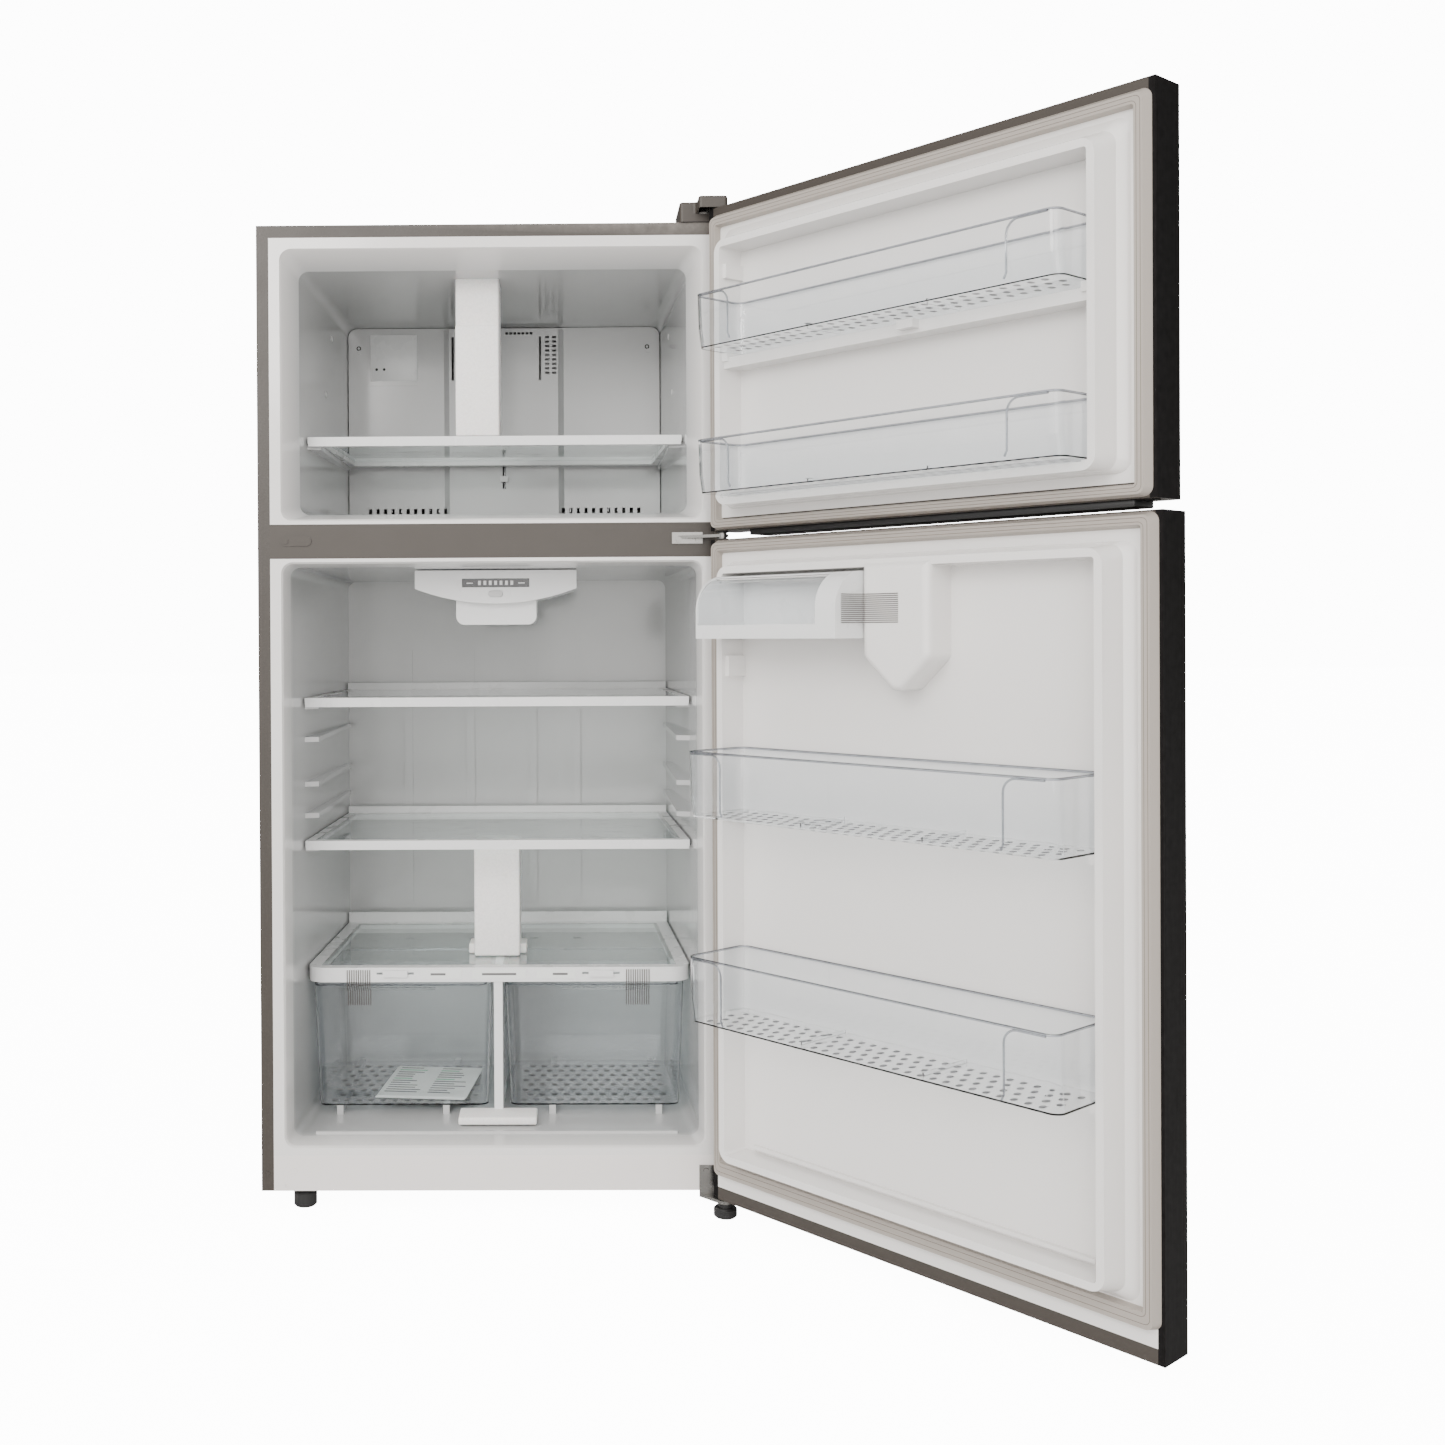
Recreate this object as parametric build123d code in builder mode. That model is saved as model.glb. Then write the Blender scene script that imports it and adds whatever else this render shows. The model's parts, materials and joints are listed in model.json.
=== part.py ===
from build123d import *
import os
from math import cos, radians, sin

# A top freezer refrigerator with both doors standing open, millimetres, +Z up, front towards -Y.
# The floor is z = 0, and the origin is on it, under the middle of the whole outline.

os.makedirs("parts", exist_ok=True)

# ---------------------------------------------------------------- driving dimensions
# Cabinet shell
CASE_W = 832.0
CASE_D = 712.0
CASE_H = 1715.0
FOOT_H = 35.0  # floor to the underside of the case
SHEET = 1.0
FLANGE = 22.0  # width of the painted steel face round the front
REAR_RETURN = 14.0
CHANNEL_D = 14.0  # depth of the steel rail between the compartments

# Compartments
LIP = 22.0  # white liner face between the flange and the opening
LIP_T = 8.0
LINER_T = 2.2
MULLION_H = 61.0
MULLION_LIP = 9.0
FREEZER_H = 477.0
KICK_H = 63.0
SILL_H = 16.0
FREEZER_DEPTH = 632.0
FRIDGE_DEPTH = 622.0
THROAT_Y = 55.0
THROAT_STEP = 22.0
FREEZER_DRAFT = 22.0  # further narrowing of each side from the throat to the back
FRIDGE_DRAFT = 27.0
FREEZER_RISE = 12.0  # floor of the freezer above its opening's edge
CEILING_DROP = 25.0
MOUTH_R = 18.0
HUMP_Y = 485.0
HUMP_H = 215.0  # step over the machine compartment, above the fridge floor
MACHINE_WALL = 40.0  # foam between the step and the machine compartment

# Doors
DOOR_T = 66.0
DOOR_GAP = 13.0  # case front to the door's inner face, filled by the gasket
HINGE_INSET = 11.0  # hinge axis from the door's hinge-side edge
HINGE_FORWARD = 30.0  # hinge axis from the case front
FREEZER_OPEN = 130.0  # degrees at rest
FRIDGE_OPEN = 131.0
FREEZER_DOOR_OVER = 13.0  # door top above the case top
DOOR_SPLIT = 15.0  # gap between the doors
FREEZER_DOOR_UNDER = 19.0  # door bottom below the mullion's top edge
CAP_H = 22.0
RETURN_W = 10.0
DOOR_R = 6.0
GASKET_FIT = 0.5
PIN_R = 5.0
PIN_FIT = 0.05
PIN_L = 18.0
DYKE_D = 50.0
DYKE_INSET = 36.0
HANDLE_REACH = 46.0

# Fittings
SLIDE_FIT = 0.3
SHELF_GAP = 3.0  # side clearance of a shelf from the wall
SHELF_T = 12.0
RAIL_T = 17.0
GLASS_T = 4.0
FRIDGE_SHELF_Y = 140.0
FRIDGE_SHELF_D = 455.0
FREEZER_SHELF_Y = 110.0
FREEZER_SHELF_D = 400.0
FREEZER_SHELF_UP = 160.0  # shelf top above the freezer opening's lower edge
UPPER_SHELF_UP = 792.0  # above the fridge opening's lower edge
LOWER_SHELF_UP = 525.0
COVER_UP = 288.0
COVER_RAIL = 27.0
CRISPER_Y = 152.0
CRISPER_D = 312.0
CRISPER_WALL = 2.5
CRISPER_HALF_GAP = 12.0  # from the cabinet's middle to a crisper's side
CRISPER_TOP_GAP = 8.0
COVER_SKIRT = 62.0  # depth of the crisper cover's front rail
EVAP_COVER_Y = 540.0
EVAP_COVER_T = 3.0
LEDGE_OUT = 10.0
LEDGE_H = 9.0
BIN_WALL = 2.5
FREEZER_BIN_D = 114.0
FRIDGE_BIN_D = 142.0
FREEZER_BIN_H = 88.0
FRIDGE_BIN_H = 108.0
FREEZER_BIN_UPS = (54.5, 296.0)  # bottoms above the door's lower edge
FRIDGE_BIN_UPS = (347.0, 686.0)
DAIRY_W = 303.0
DAIRY_H = 104.0
DAIRY_D = 120.0
DAIRY_DOWN = 172.0  # floor of the dairy bin below the fridge door's top
ROLLER_R = 16.0
FOOT_R = 20.5

# ---------------------------------------------------------------- derived levels
HALF_W = CASE_W / 2
FACE_HALF = HALF_W - FLANGE
OPEN_HALF = FACE_HALF - LIP
CASE_Z0 = FOOT_H
CASE_Z1 = CASE_Z0 + CASE_H
FREEZER_Z1 = CASE_Z1 - FLANGE - LIP
FREEZER_Z0 = FREEZER_Z1 - FREEZER_H
MULLION_Z1 = FREEZER_Z0 - MULLION_LIP
MULLION_Z0 = MULLION_Z1 - MULLION_H
FRIDGE_Z1 = MULLION_Z0 - MULLION_LIP
KICK_Z1 = CASE_Z0 + KICK_H
FRIDGE_Z0 = KICK_Z1 + SILL_H
FRIDGE_FLOOR = FRIDGE_Z0 + 8.0
HUMP_Z = FRIDGE_FLOOR + HUMP_H
MACHINE_Y = HUMP_Y + MACHINE_WALL
MACHINE_Z = HUMP_Z - MACHINE_WALL
BACK_Y = CASE_D - SHEET  # inner side of the rear return
HINGE_X = HALF_W - HINGE_INSET
FREE_U = CASE_W - HINGE_INSET  # the free edge, measured from the hinge axis
V_IN = DOOR_GAP - HINGE_FORWARD
V_OUT = V_IN + DOOR_T
FREEZER_DOOR_Z0 = MULLION_Z1 - FREEZER_DOOR_UNDER
FREEZER_DOOR_Z1 = CASE_Z1 + FREEZER_DOOR_OVER
FRIDGE_DOOR_Z1 = FREEZER_DOOR_Z0 - DOOR_SPLIT
FRIDGE_DOOR_Z0 = CASE_Z0 - 1.0
COVER_Z = FRIDGE_Z0 + COVER_UP
COVER_Y0 = CRISPER_Y - 14.0
COVER_SKIRT_Y = COVER_Y0 + COVER_SKIRT + 4.0
CRISPER_Z0 = FRIDGE_FLOOR + 16.0
CRISPER_Z1 = COVER_Z - COVER_RAIL - CRISPER_TOP_GAP

# ---------------------------------------------------------------- planes
reach_x = HINGE_X - FREE_U * cos(radians(FRIDGE_OPEN)) + V_OUT * sin(radians(FRIDGE_OPEN))
reach_y = -HINGE_FORWARD - FREE_U * sin(radians(FREEZER_OPEN)) - V_IN * cos(radians(FREEZER_OPEN))
CAB = Plane(origin=((HALF_W - reach_x) / 2, -(CASE_D + reach_y) / 2, 0))


def door_plane(opened):
    """The level frame of a door: x from the hinge axis to the free edge, y out of its outer face."""
    turn = radians(opened)
    hinge = CAB.from_local_coords((HINGE_X, -HINGE_FORWARD, 0))
    return Plane(origin=hinge, x_dir=(-cos(turn), -sin(turn), 0), z_dir=(0, 0, 1))


FREEZER_DOOR = door_plane(FREEZER_OPEN)
FRIDGE_DOOR = door_plane(FRIDGE_OPEN)


def level(z, base=CAB):
    """The level plane at a height."""
    return base.offset(z)


def upright(y, base=CAB):
    """The upright plane across the base at a depth, its normal towards the base's -y."""
    return Plane(origin=base.from_local_coords((0, y, 0)), x_dir=base.x_dir, z_dir=-base.y_dir)


def sideways(x, base=CAB):
    """The upright plane whose normal is the base's +x, drawn in the base's y and z."""
    return Plane(origin=base.from_local_coords((x, 0, 0)), x_dir=base.y_dir, z_dir=base.x_dir)


def block(x0, x1, y0, y1, z0, z1, base=CAB, mode=Mode.ADD):
    """A rectangular block between two corners given in the base's frame."""
    with Locations(base.location * Location((x0, y0, z0))):
        Box(x1 - x0, y1 - y0, z1 - z0, align=(Align.MIN, Align.MIN, Align.MIN), mode=mode)


def rod(radius, x, y, z0, z1, base=CAB, mode=Mode.ADD):
    """An upright round bar from one height to another."""
    with Locations(base.location * Location((x, y, z0))):
        Cylinder(radius, z1 - z0, align=(Align.CENTER, Align.CENTER, Align.MIN), mode=mode)


def rod_along_y(radius, x, z, y0, y1, base=CAB, mode=Mode.ADD):
    """A round bar lying front to back."""
    with Locations(base.location * Location((x, y0, z), (-90, 0, 0))):
        Cylinder(radius, y1 - y0, align=(Align.CENTER, Align.CENTER, Align.MIN), mode=mode)


def rod_along_x(radius, y, z, x0, x1, base=CAB, mode=Mode.ADD):
    """A round bar lying side to side."""
    with Locations(base.location * Location((x0, y, z), (0, 90, 0))):
        Cylinder(radius, x1 - x0, align=(Align.CENTER, Align.CENTER, Align.MIN), mode=mode)


def ledges(form, y0, y1, low, height):
    """A straight shelf ledge on each side wall of a compartment, rooted in the liner's wall."""
    rail = wall_at(form, y1)[0] - LEDGE_OUT
    near, far = (wall_at(form, y)[0] + LINER_T / 2 for y in (y0, y1))
    for side in (-1, 1):
        with BuildSketch(level(low)) as shape:
            with BuildLine():
                Polyline((side * near, y0), (side * far, y1), (side * rail, y1), (side * rail, y0 + 8),
                         close=True)
            make_face()
        extrude(shape.sketch, amount=height)


def hand_in(piece, name):
    """Labels a finished piece and writes its file."""
    piece.label = name
    export_step(piece, f"parts/{name}.step")


# ---------------------------------------------------------------- compartment forms
# Each section is depth, half width, floor, ceiling and corner radius.
FREEZER_FORM = (
    (0.0, OPEN_HALF + 3, FREEZER_Z0 - 3, FREEZER_Z1 + 3, MOUTH_R + 3),
    (5.0, OPEN_HALF, FREEZER_Z0, FREEZER_Z1, MOUTH_R),
    (THROAT_Y, OPEN_HALF - THROAT_STEP, FREEZER_Z0 + FREEZER_RISE, FREEZER_Z1 - CEILING_DROP, MOUTH_R),
    (FREEZER_DEPTH, OPEN_HALF - THROAT_STEP - FREEZER_DRAFT, FREEZER_Z0 + FREEZER_RISE + 4,
     FREEZER_Z1 - CEILING_DROP - 8, MOUTH_R),
)
FRIDGE_FORM = (
    (0.0, OPEN_HALF + 3, FRIDGE_Z0 - 3, FRIDGE_Z1 + 3, MOUTH_R + 3),
    (5.0, OPEN_HALF, FRIDGE_Z0, FRIDGE_Z1, MOUTH_R),
    (40.0, OPEN_HALF - 7, FRIDGE_Z0 + 6, FRIDGE_Z1 - 5, MOUTH_R),
    (FRIDGE_DEPTH, OPEN_HALF - FRIDGE_DRAFT, FRIDGE_FLOOR, FRIDGE_Z1 - 11, MOUTH_R),
)


def wall_at(form, y):
    """Half width, floor and ceiling of a compartment at a depth."""
    for near, far in zip(form, form[1:]):
        if y <= far[0]:
            share = (y - near[0]) / (far[0] - near[0])
            return tuple(near[i] + share * (far[i] - near[i]) for i in (1, 2, 3))


def compartment(form, grow):
    """The space of a compartment, or with the wall's thickness its outer form."""
    with BuildPart() as space:
        for near, far in zip(form, form[1:]):
            for y, half, z0, z1, corner in (near, far):
                depth = y + grow if y == form[-1][0] else y
                with BuildSketch(upright(depth)):
                    with Locations((0, (z0 + z1) / 2)):
                        RectangleRounded(2 * (half + grow), z1 - z0 + 2 * grow, corner + grow)
            loft(ruled=True)
    return space.part


def over_hump(space, grow):
    """Cuts the step over the machine compartment out of the fridge's form."""
    with BuildPart() as stepped:
        add(space)
        block(-CASE_W, CASE_W, HUMP_Y + grow, CASE_D, 0, HUMP_Z - grow, mode=Mode.SUBTRACT)
    return stepped.part


freezer_space = compartment(FREEZER_FORM, 0)
freezer_outside = compartment(FREEZER_FORM, LINER_T)
fridge_space = over_hump(compartment(FRIDGE_FORM, 0), 0)
fridge_outside = over_hump(compartment(FRIDGE_FORM, LINER_T), LINER_T)

# ---------------------------------------------------------------- outer shell
with BuildPart() as outer_case:
    block(-HALF_W, HALF_W, 0, CASE_D, CASE_Z0, CASE_Z1)
    inner = HALF_W - SHEET
    block(-inner, inner, SHEET, BACK_Y, CASE_Z0 - 1, CASE_Z1 - SHEET, mode=Mode.SUBTRACT)
    block(-FACE_HALF, FACE_HALF, -1, SHEET + 1, CASE_Z0 - 1, CASE_Z1 - FLANGE, mode=Mode.SUBTRACT)
    rear = HALF_W - REAR_RETURN
    block(-rear, rear, BACK_Y - 1, CASE_D + 1, CASE_Z0 - 1, CASE_Z1 - REAR_RETURN, mode=Mode.SUBTRACT)
    # small round plug in the left flange, beside the kick panel
    rod_along_y(3.5, -HALF_W + FLANGE / 2, CASE_Z0 + KICK_H / 2, -1.2, 0.2)
hand_in(outer_case.part, "outer_case")

BACK_T = 0.8
with BuildPart() as back_panel:
    block(-inner, inner, BACK_Y - BACK_T, BACK_Y, MACHINE_Z, CASE_Z1 - SHEET)
    rib_pitch = 150
    for i in range(-2, 3):
        x = i * rib_pitch
        block(x - 9, x + 9, BACK_Y - BACK_T, BACK_Y + 0.6, MACHINE_Z + 60, CASE_Z1 - 70)
hand_in(back_panel.part, "back_panel")

PAN_T = 1.5
FOOT_X, FOOT_Y = -HALF_W + 73, 30.0
FOOT_SCREW_R = 5.0
ROLLER_X, ROLLER_Y = HALF_W - 86, CASE_D - 72
ROLLER_W = 22.0
AXLE_R = 4.0
with BuildPart() as base_pan:
    block(-inner, inner, CHANNEL_D, BACK_Y - 2.5, CASE_Z0, CASE_Z0 + PAN_T)
    rod(12, FOOT_X, FOOT_Y, CASE_Z0 - 1, CASE_Z0 + 14)
    rod(FOOT_SCREW_R + 0.2, FOOT_X, FOOT_Y, CASE_Z0 - 2, CASE_Z0 + 15, mode=Mode.SUBTRACT)
    for x in (-ROLLER_X, ROLLER_X):
        for ear in (-1, 1):
            middle = x + ear * (ROLLER_W / 2 + 3.5)
            block(middle - 2, middle + 2, ROLLER_Y - 14, ROLLER_Y + 14, ROLLER_R - 9, CASE_Z0)
        rod_along_x(AXLE_R + PIN_FIT, ROLLER_Y, ROLLER_R, x - ROLLER_W, x + ROLLER_W, mode=Mode.SUBTRACT)
hand_in(base_pan.part, "base_pan")

with BuildPart() as mullion_rail:
    rail_t = 1.2
    block(-FACE_HALF, FACE_HALF, 0, CHANNEL_D, MULLION_Z0, MULLION_Z1)
    block(-FACE_HALF, FACE_HALF, rail_t, CHANNEL_D + 1, MULLION_Z0 + rail_t, MULLION_Z1 - rail_t,
          mode=Mode.SUBTRACT)
    # oblong plug over the unused hinge holes of the left side
    plug_x, plug_z = -HALF_W + 68, (MULLION_Z0 + MULLION_Z1) / 2 + 1
    with BuildSketch(upright(0)):
        with Locations((plug_x, plug_z)):
            SlotOverall(55, 18)
    extrude(amount=1.6)
    rod_along_y(5.5, plug_x - 19, plug_z, -2.6, 0)
hand_in(mullion_rail.part, "mullion_rail")

with BuildPart() as kick_panel:
    block(-FACE_HALF, FACE_HALF, 0, CHANNEL_D - 2, CASE_Z0, KICK_Z1)
    block(-FACE_HALF + 2.5, FACE_HALF - 2.5, 2.5, CHANNEL_D, CASE_Z0 + 2.5, KICK_Z1 - 2.5,
          mode=Mode.SUBTRACT)
    rod_along_y(6, -FACE_HALF + 36, CASE_Z0 + 34, -0.8, 0.2)
    block(-FACE_HALF + 20, -FACE_HALF + 26, -1, 1.2, CASE_Z0 + 6, CASE_Z0 + 12, mode=Mode.SUBTRACT)
hand_in(kick_panel.part, "kick_panel")

# ---------------------------------------------------------------- liners and insulation
freezer_shelf_z = FREEZER_Z0 + FREEZER_SHELF_UP
fridge_shelf_zs = {"upper_shelf": FRIDGE_Z0 + UPPER_SHELF_UP, "lower_shelf": FRIDGE_Z0 + LOWER_SHELF_UP}
spare_ledge_zs = (FRIDGE_Z0 + 718, FRIDGE_Z0 + 634, FRIDGE_Z0 + 575)
freezer_shelf_back = FREEZER_SHELF_Y + FREEZER_SHELF_D
fridge_shelf_back = FRIDGE_SHELF_Y + FRIDGE_SHELF_D

with BuildPart() as freezer_liner:
    add(freezer_outside)
    block(-FACE_HALF, FACE_HALF, 0, LIP_T, MULLION_Z1, CASE_Z1 - FLANGE)
    add(freezer_space, mode=Mode.SUBTRACT)
    seat = freezer_shelf_z - SHELF_T - SLIDE_FIT
    ledges(FREEZER_FORM, FREEZER_SHELF_Y + 12, freezer_shelf_back - 10, seat - LEDGE_H, LEDGE_H)
hand_in(freezer_liner.part, "freezer_liner")

with BuildPart() as fridge_liner:
    add(fridge_outside)
    block(-FACE_HALF, FACE_HALF, 0, LIP_T, KICK_Z1, MULLION_Z0)
    add(fridge_space, mode=Mode.SUBTRACT)
    for seat in [z - SHELF_T - SLIDE_FIT for z in fridge_shelf_zs.values()] + list(spare_ledge_zs):
        ledges(FRIDGE_FORM, FRIDGE_SHELF_Y + 14, fridge_shelf_back - 10, seat - LEDGE_H, LEDGE_H)
    # crisper cover rests on its own pair of ledges
    cover_ledge_z = COVER_Z - SHELF_T - SLIDE_FIT - LEDGE_H
    ledges(FRIDGE_FORM, COVER_SKIRT_Y, fridge_shelf_back - 10, cover_ledge_z, LEDGE_H)
    # low runners under the crispers
    for x in (-300, -100, 100, 300):
        block(x - 6, x + 6, CRISPER_Y + 10, HUMP_Y + 1, FRIDGE_FLOOR - 2.4, CRISPER_Z0 - SLIDE_FIT)
    # moulded ridge along the floor behind the mouth
    block(-OPEN_HALF + 45, OPEN_HALF - 45, 48, 58, FRIDGE_FLOOR - 3, FRIDGE_FLOOR + 3)
    # shallow upright ribs on the back wall
    for x in (-215, -80, 55, 150):
        block(x - 9, x + 9, FRIDGE_DEPTH - 5, FRIDGE_DEPTH + 1, COVER_Z + 40, FRIDGE_Z1 - 160)
hand_in(fridge_liner.part, "fridge_liner")

with BuildPart() as insulation:
    block(-inner, inner, CHANNEL_D + 0.5, BACK_Y - BACK_T, CASE_Z0 + PAN_T, CASE_Z1 - SHEET)
    add(freezer_outside, mode=Mode.SUBTRACT)
    add(fridge_outside, mode=Mode.SUBTRACT)
    block(-CASE_W, CASE_W, MACHINE_Y, CASE_D, 0, MACHINE_Z, mode=Mode.SUBTRACT)
    rod(14, FOOT_X, FOOT_Y, CASE_Z0, CASE_Z0 + 34, mode=Mode.SUBTRACT)
hand_in(insulation.part, "insulation")

# ---------------------------------------------------------------- freezer fittings
with BuildPart() as evaporator_cover:
    half, floor, roof = wall_at(FREEZER_FORM, EVAP_COVER_Y)
    middle = (floor + roof) / 2
    with BuildSketch(upright(EVAP_COVER_Y + EVAP_COVER_T)):
        with Locations((0, middle)):
            RectangleRounded(2 * half - 3, roof - floor - 2, MOUTH_R)
    extrude(amount=EVAP_COVER_T)
    # raised air duct up the middle
    duct_half, duct_out = 115.0, 14.0
    with BuildSketch(level(floor + 6)):
        with BuildLine():
            Polyline((-duct_half - 12, EVAP_COVER_Y), (-duct_half, EVAP_COVER_Y - duct_out),
                     (duct_half, EVAP_COVER_Y - duct_out), (duct_half + 12, EVAP_COVER_Y), close=True)
        make_face()
    extrude(amount=roof - floor - 12)
    duct_back = EVAP_COVER_Y + EVAP_COVER_T + 1
    block(-duct_half + 3, duct_half - 3, EVAP_COVER_Y - duct_out + 2.5, duct_back, floor + 9, roof - 9,
          mode=Mode.SUBTRACT)
    slot_top = roof - 22
    for x in (-107.5, -94.7, 77.3):
        block(x - 2.5, x + 2.5, 0, duct_back, slot_top - 92, slot_top, mode=Mode.SUBTRACT)
    for x in (-28.5, 30.3):
        for z in (floor + 197, floor + 189, floor + 181, floor + 152, floor + 144, floor + 136):
            block(x - 9, x + 9, 0, duct_back, z - 2, z + 2, mode=Mode.SUBTRACT)
    with Locations(upright(EVAP_COVER_Y).location * Location((0, slot_top - 39, 0))):
        with Locations((92.3, 0), (107.2, 0)):
            with GridLocations(1, 9.4, 1, 9):
                Box(9, 5, 60, mode=Mode.SUBTRACT)
        with Locations((33, 46)):
            with GridLocations(8.6, 1, 7, 1):
                Box(6, 5, 60, mode=Mode.SUBTRACT)
    for centre in (-205, 205):
        with Locations(upright(EVAP_COVER_Y).location * Location((centre, floor + 38, 0))):
            with GridLocations(16, 1, 11, 1):
                Box(7, 17, 20, mode=Mode.SUBTRACT)
    # blank plate where an ice maker would fasten, and two screw heads
    block(-285, -184.5, EVAP_COVER_Y - 1.5, EVAP_COVER_Y + 1, roof - 122, roof - 15)
    for x in (-306, 306):
        rod_along_y(4.5, x, roof - 51, EVAP_COVER_Y - 2, EVAP_COVER_Y + 1)
    # slot for the air control knob
    KNOB_Z = floor + 112.0
    block(-3, 3, 0, duct_back, KNOB_Z - 26, KNOB_Z + 26, mode=Mode.SUBTRACT)
hand_in(evaporator_cover.part, "evaporator_cover")

duct_face = EVAP_COVER_Y - duct_out
with BuildPart() as air_control_knob:
    block(-8, 8, duct_face - 6.3, duct_face - SLIDE_FIT, KNOB_Z - 11, KNOB_Z + 1)
    block(-2.6, 2.6, duct_face - 1, duct_face + 5, KNOB_Z - 7, KNOB_Z - 3)
hand_in(air_control_knob.part, "air_control_knob")

COIL_Y0, COIL_Y1 = EVAP_COVER_Y + 14.0, FREEZER_DEPTH - 8.0
COIL_HALF = 240.0
with BuildPart() as evaporator:
    coil_z0, coil_z1 = floor + 40, floor + 250
    fin_count = 25
    with Locations(CAB.location * Location((0, (COIL_Y0 + COIL_Y1) / 2, (coil_z0 + coil_z1) / 2))):
        with GridLocations(2 * COIL_HALF / (fin_count - 1), 1, fin_count, 1):
            Box(1.0, COIL_Y1 - COIL_Y0, coil_z1 - coil_z0)
    rows = 5
    for row in range(rows):
        z = coil_z0 + (row + 0.5) * (coil_z1 - coil_z0) / rows
        for y in (COIL_Y0 + 16, COIL_Y1 - 16):
            rod_along_x(4, y, z, -COIL_HALF - 14, COIL_HALF + 14)
    for x in (-COIL_HALF - 6, COIL_HALF + 4):
        block(x, x + 2, COIL_Y0, FREEZER_DEPTH, coil_z0 - 24, coil_z1)
hand_in(evaporator.part, "evaporator")

with BuildPart() as defrost_heater:
    rod_along_x(6, (COIL_Y0 + COIL_Y1) / 2, coil_z0 - 16, -COIL_HALF, COIL_HALF)
    for x in (-COIL_HALF - 4, COIL_HALF - 8):
        rod_along_x(8, (COIL_Y0 + COIL_Y1) / 2, coil_z0 - 16, x, x + 12)
hand_in(defrost_heater.part, "defrost_heater")

FAN_Z = coil_z1 + 78.0
FAN_R = 50.0


def fan_blades(plane, hub_r, tip_r, width):
    """A hub with five pitched blades, turning about the plane's normal."""
    with BuildPart() as wheel:
        with BuildSketch(plane):
            Circle(hub_r)
        extrude(amount=width)
        with Locations(plane.offset(width / 2).location):
            with PolarLocations((hub_r + tip_r) / 2, 5):
                with Locations(Location((0, 0, 0), (28, 0, 0))):
                    Box(tip_r - hub_r + 4, (hub_r + tip_r) / 2.4, 1.6)
        bore = plane.offset(-1)
        with BuildSketch(bore):
            Circle(2.0 + PIN_FIT)
        extrude(amount=width - 2, mode=Mode.SUBTRACT)
    return wheel.part


FAN_Y = COIL_Y0 + 20.0
fan_plane = Plane(origin=CAB.from_local_coords((0, FAN_Y, FAN_Z)), x_dir=CAB.x_dir, z_dir=-CAB.y_dir)
evaporator_fan = fan_blades(fan_plane, 14, FAN_R, 14)
hand_in(evaporator_fan, "evaporator_fan")

with BuildPart() as evaporator_fan_motor:
    rod_along_y(24, 0, FAN_Z, FAN_Y + 4, FAN_Y + 36)
    rod_along_y(2, 0, FAN_Z, FAN_Y - 10, FAN_Y + 6)
    block(-60, 60, FAN_Y + 30, FAN_Y + 36, FAN_Z - 8, FAN_Z + 8)
    for x in (-60, 54):
        block(x, x + 6, FAN_Y + 30, FREEZER_DEPTH, FAN_Z - 8, FAN_Z + 8)
hand_in(evaporator_fan_motor.part, "evaporator_fan_motor")


def wall_outline(form, y0, y1, gap):
    """The plan of something that fills a compartment's width between two depths."""
    near, far = (wall_at(form, y)[0] - gap for y in (y0, y1))
    return (-near, y0), (near, y0), (far, y1), (-far, y1)


def make_shelf(name, form, y0, depth, top):
    """A moulded frame with a front rail and a raised rear lip, and the glass plate that lies in it."""
    y1 = y0 + depth
    border, step = 15.0, 6.0
    with BuildPart() as frame:
        with BuildSketch(level(top - SHELF_T)):
            with BuildLine():
                Polyline(*wall_outline(form, y0, y1, SHELF_GAP), close=True)
            make_face()
        extrude(amount=SHELF_T)
        for drop, inset in ((SHELF_T + 1, border + step), (GLASS_T, border)):
            with BuildSketch(level(top - drop)):
                with BuildLine():
                    Polyline(*wall_outline(form, y0 + inset + 3, y1 - inset, SHELF_GAP + inset), close=True)
                make_face()
            extrude(amount=drop + 1, mode=Mode.SUBTRACT)
        half = wall_at(form, y0)[0] - SHELF_GAP
        block(-half + 1, half - 1, y0, y0 + 12, top - RAIL_T, top)
        back = wall_at(form, y1)[0] - SHELF_GAP
        block(-back, back, y1 - 4, y1, top - SHELF_T, top + 14)
    hand_in(frame.part, name)
    with BuildPart() as glass:
        with BuildSketch(level(top - GLASS_T)):
            with BuildLine():
                inset = border + SLIDE_FIT
                Polyline(*wall_outline(form, y0 + inset + 3, y1 - inset, SHELF_GAP + inset), close=True)
            make_face()
        extrude(amount=GLASS_T - 0.4)
    hand_in(glass.part, f"{name}_glass")


make_shelf("freezer_shelf", FREEZER_FORM, FREEZER_SHELF_Y, FREEZER_SHELF_D, freezer_shelf_z)

# ---------------------------------------------------------------- fridge fittings
for shelf_name, shelf_z in fridge_shelf_zs.items():
    make_shelf(shelf_name, FRIDGE_FORM, FRIDGE_SHELF_Y, FRIDGE_SHELF_D, shelf_z)

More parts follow.
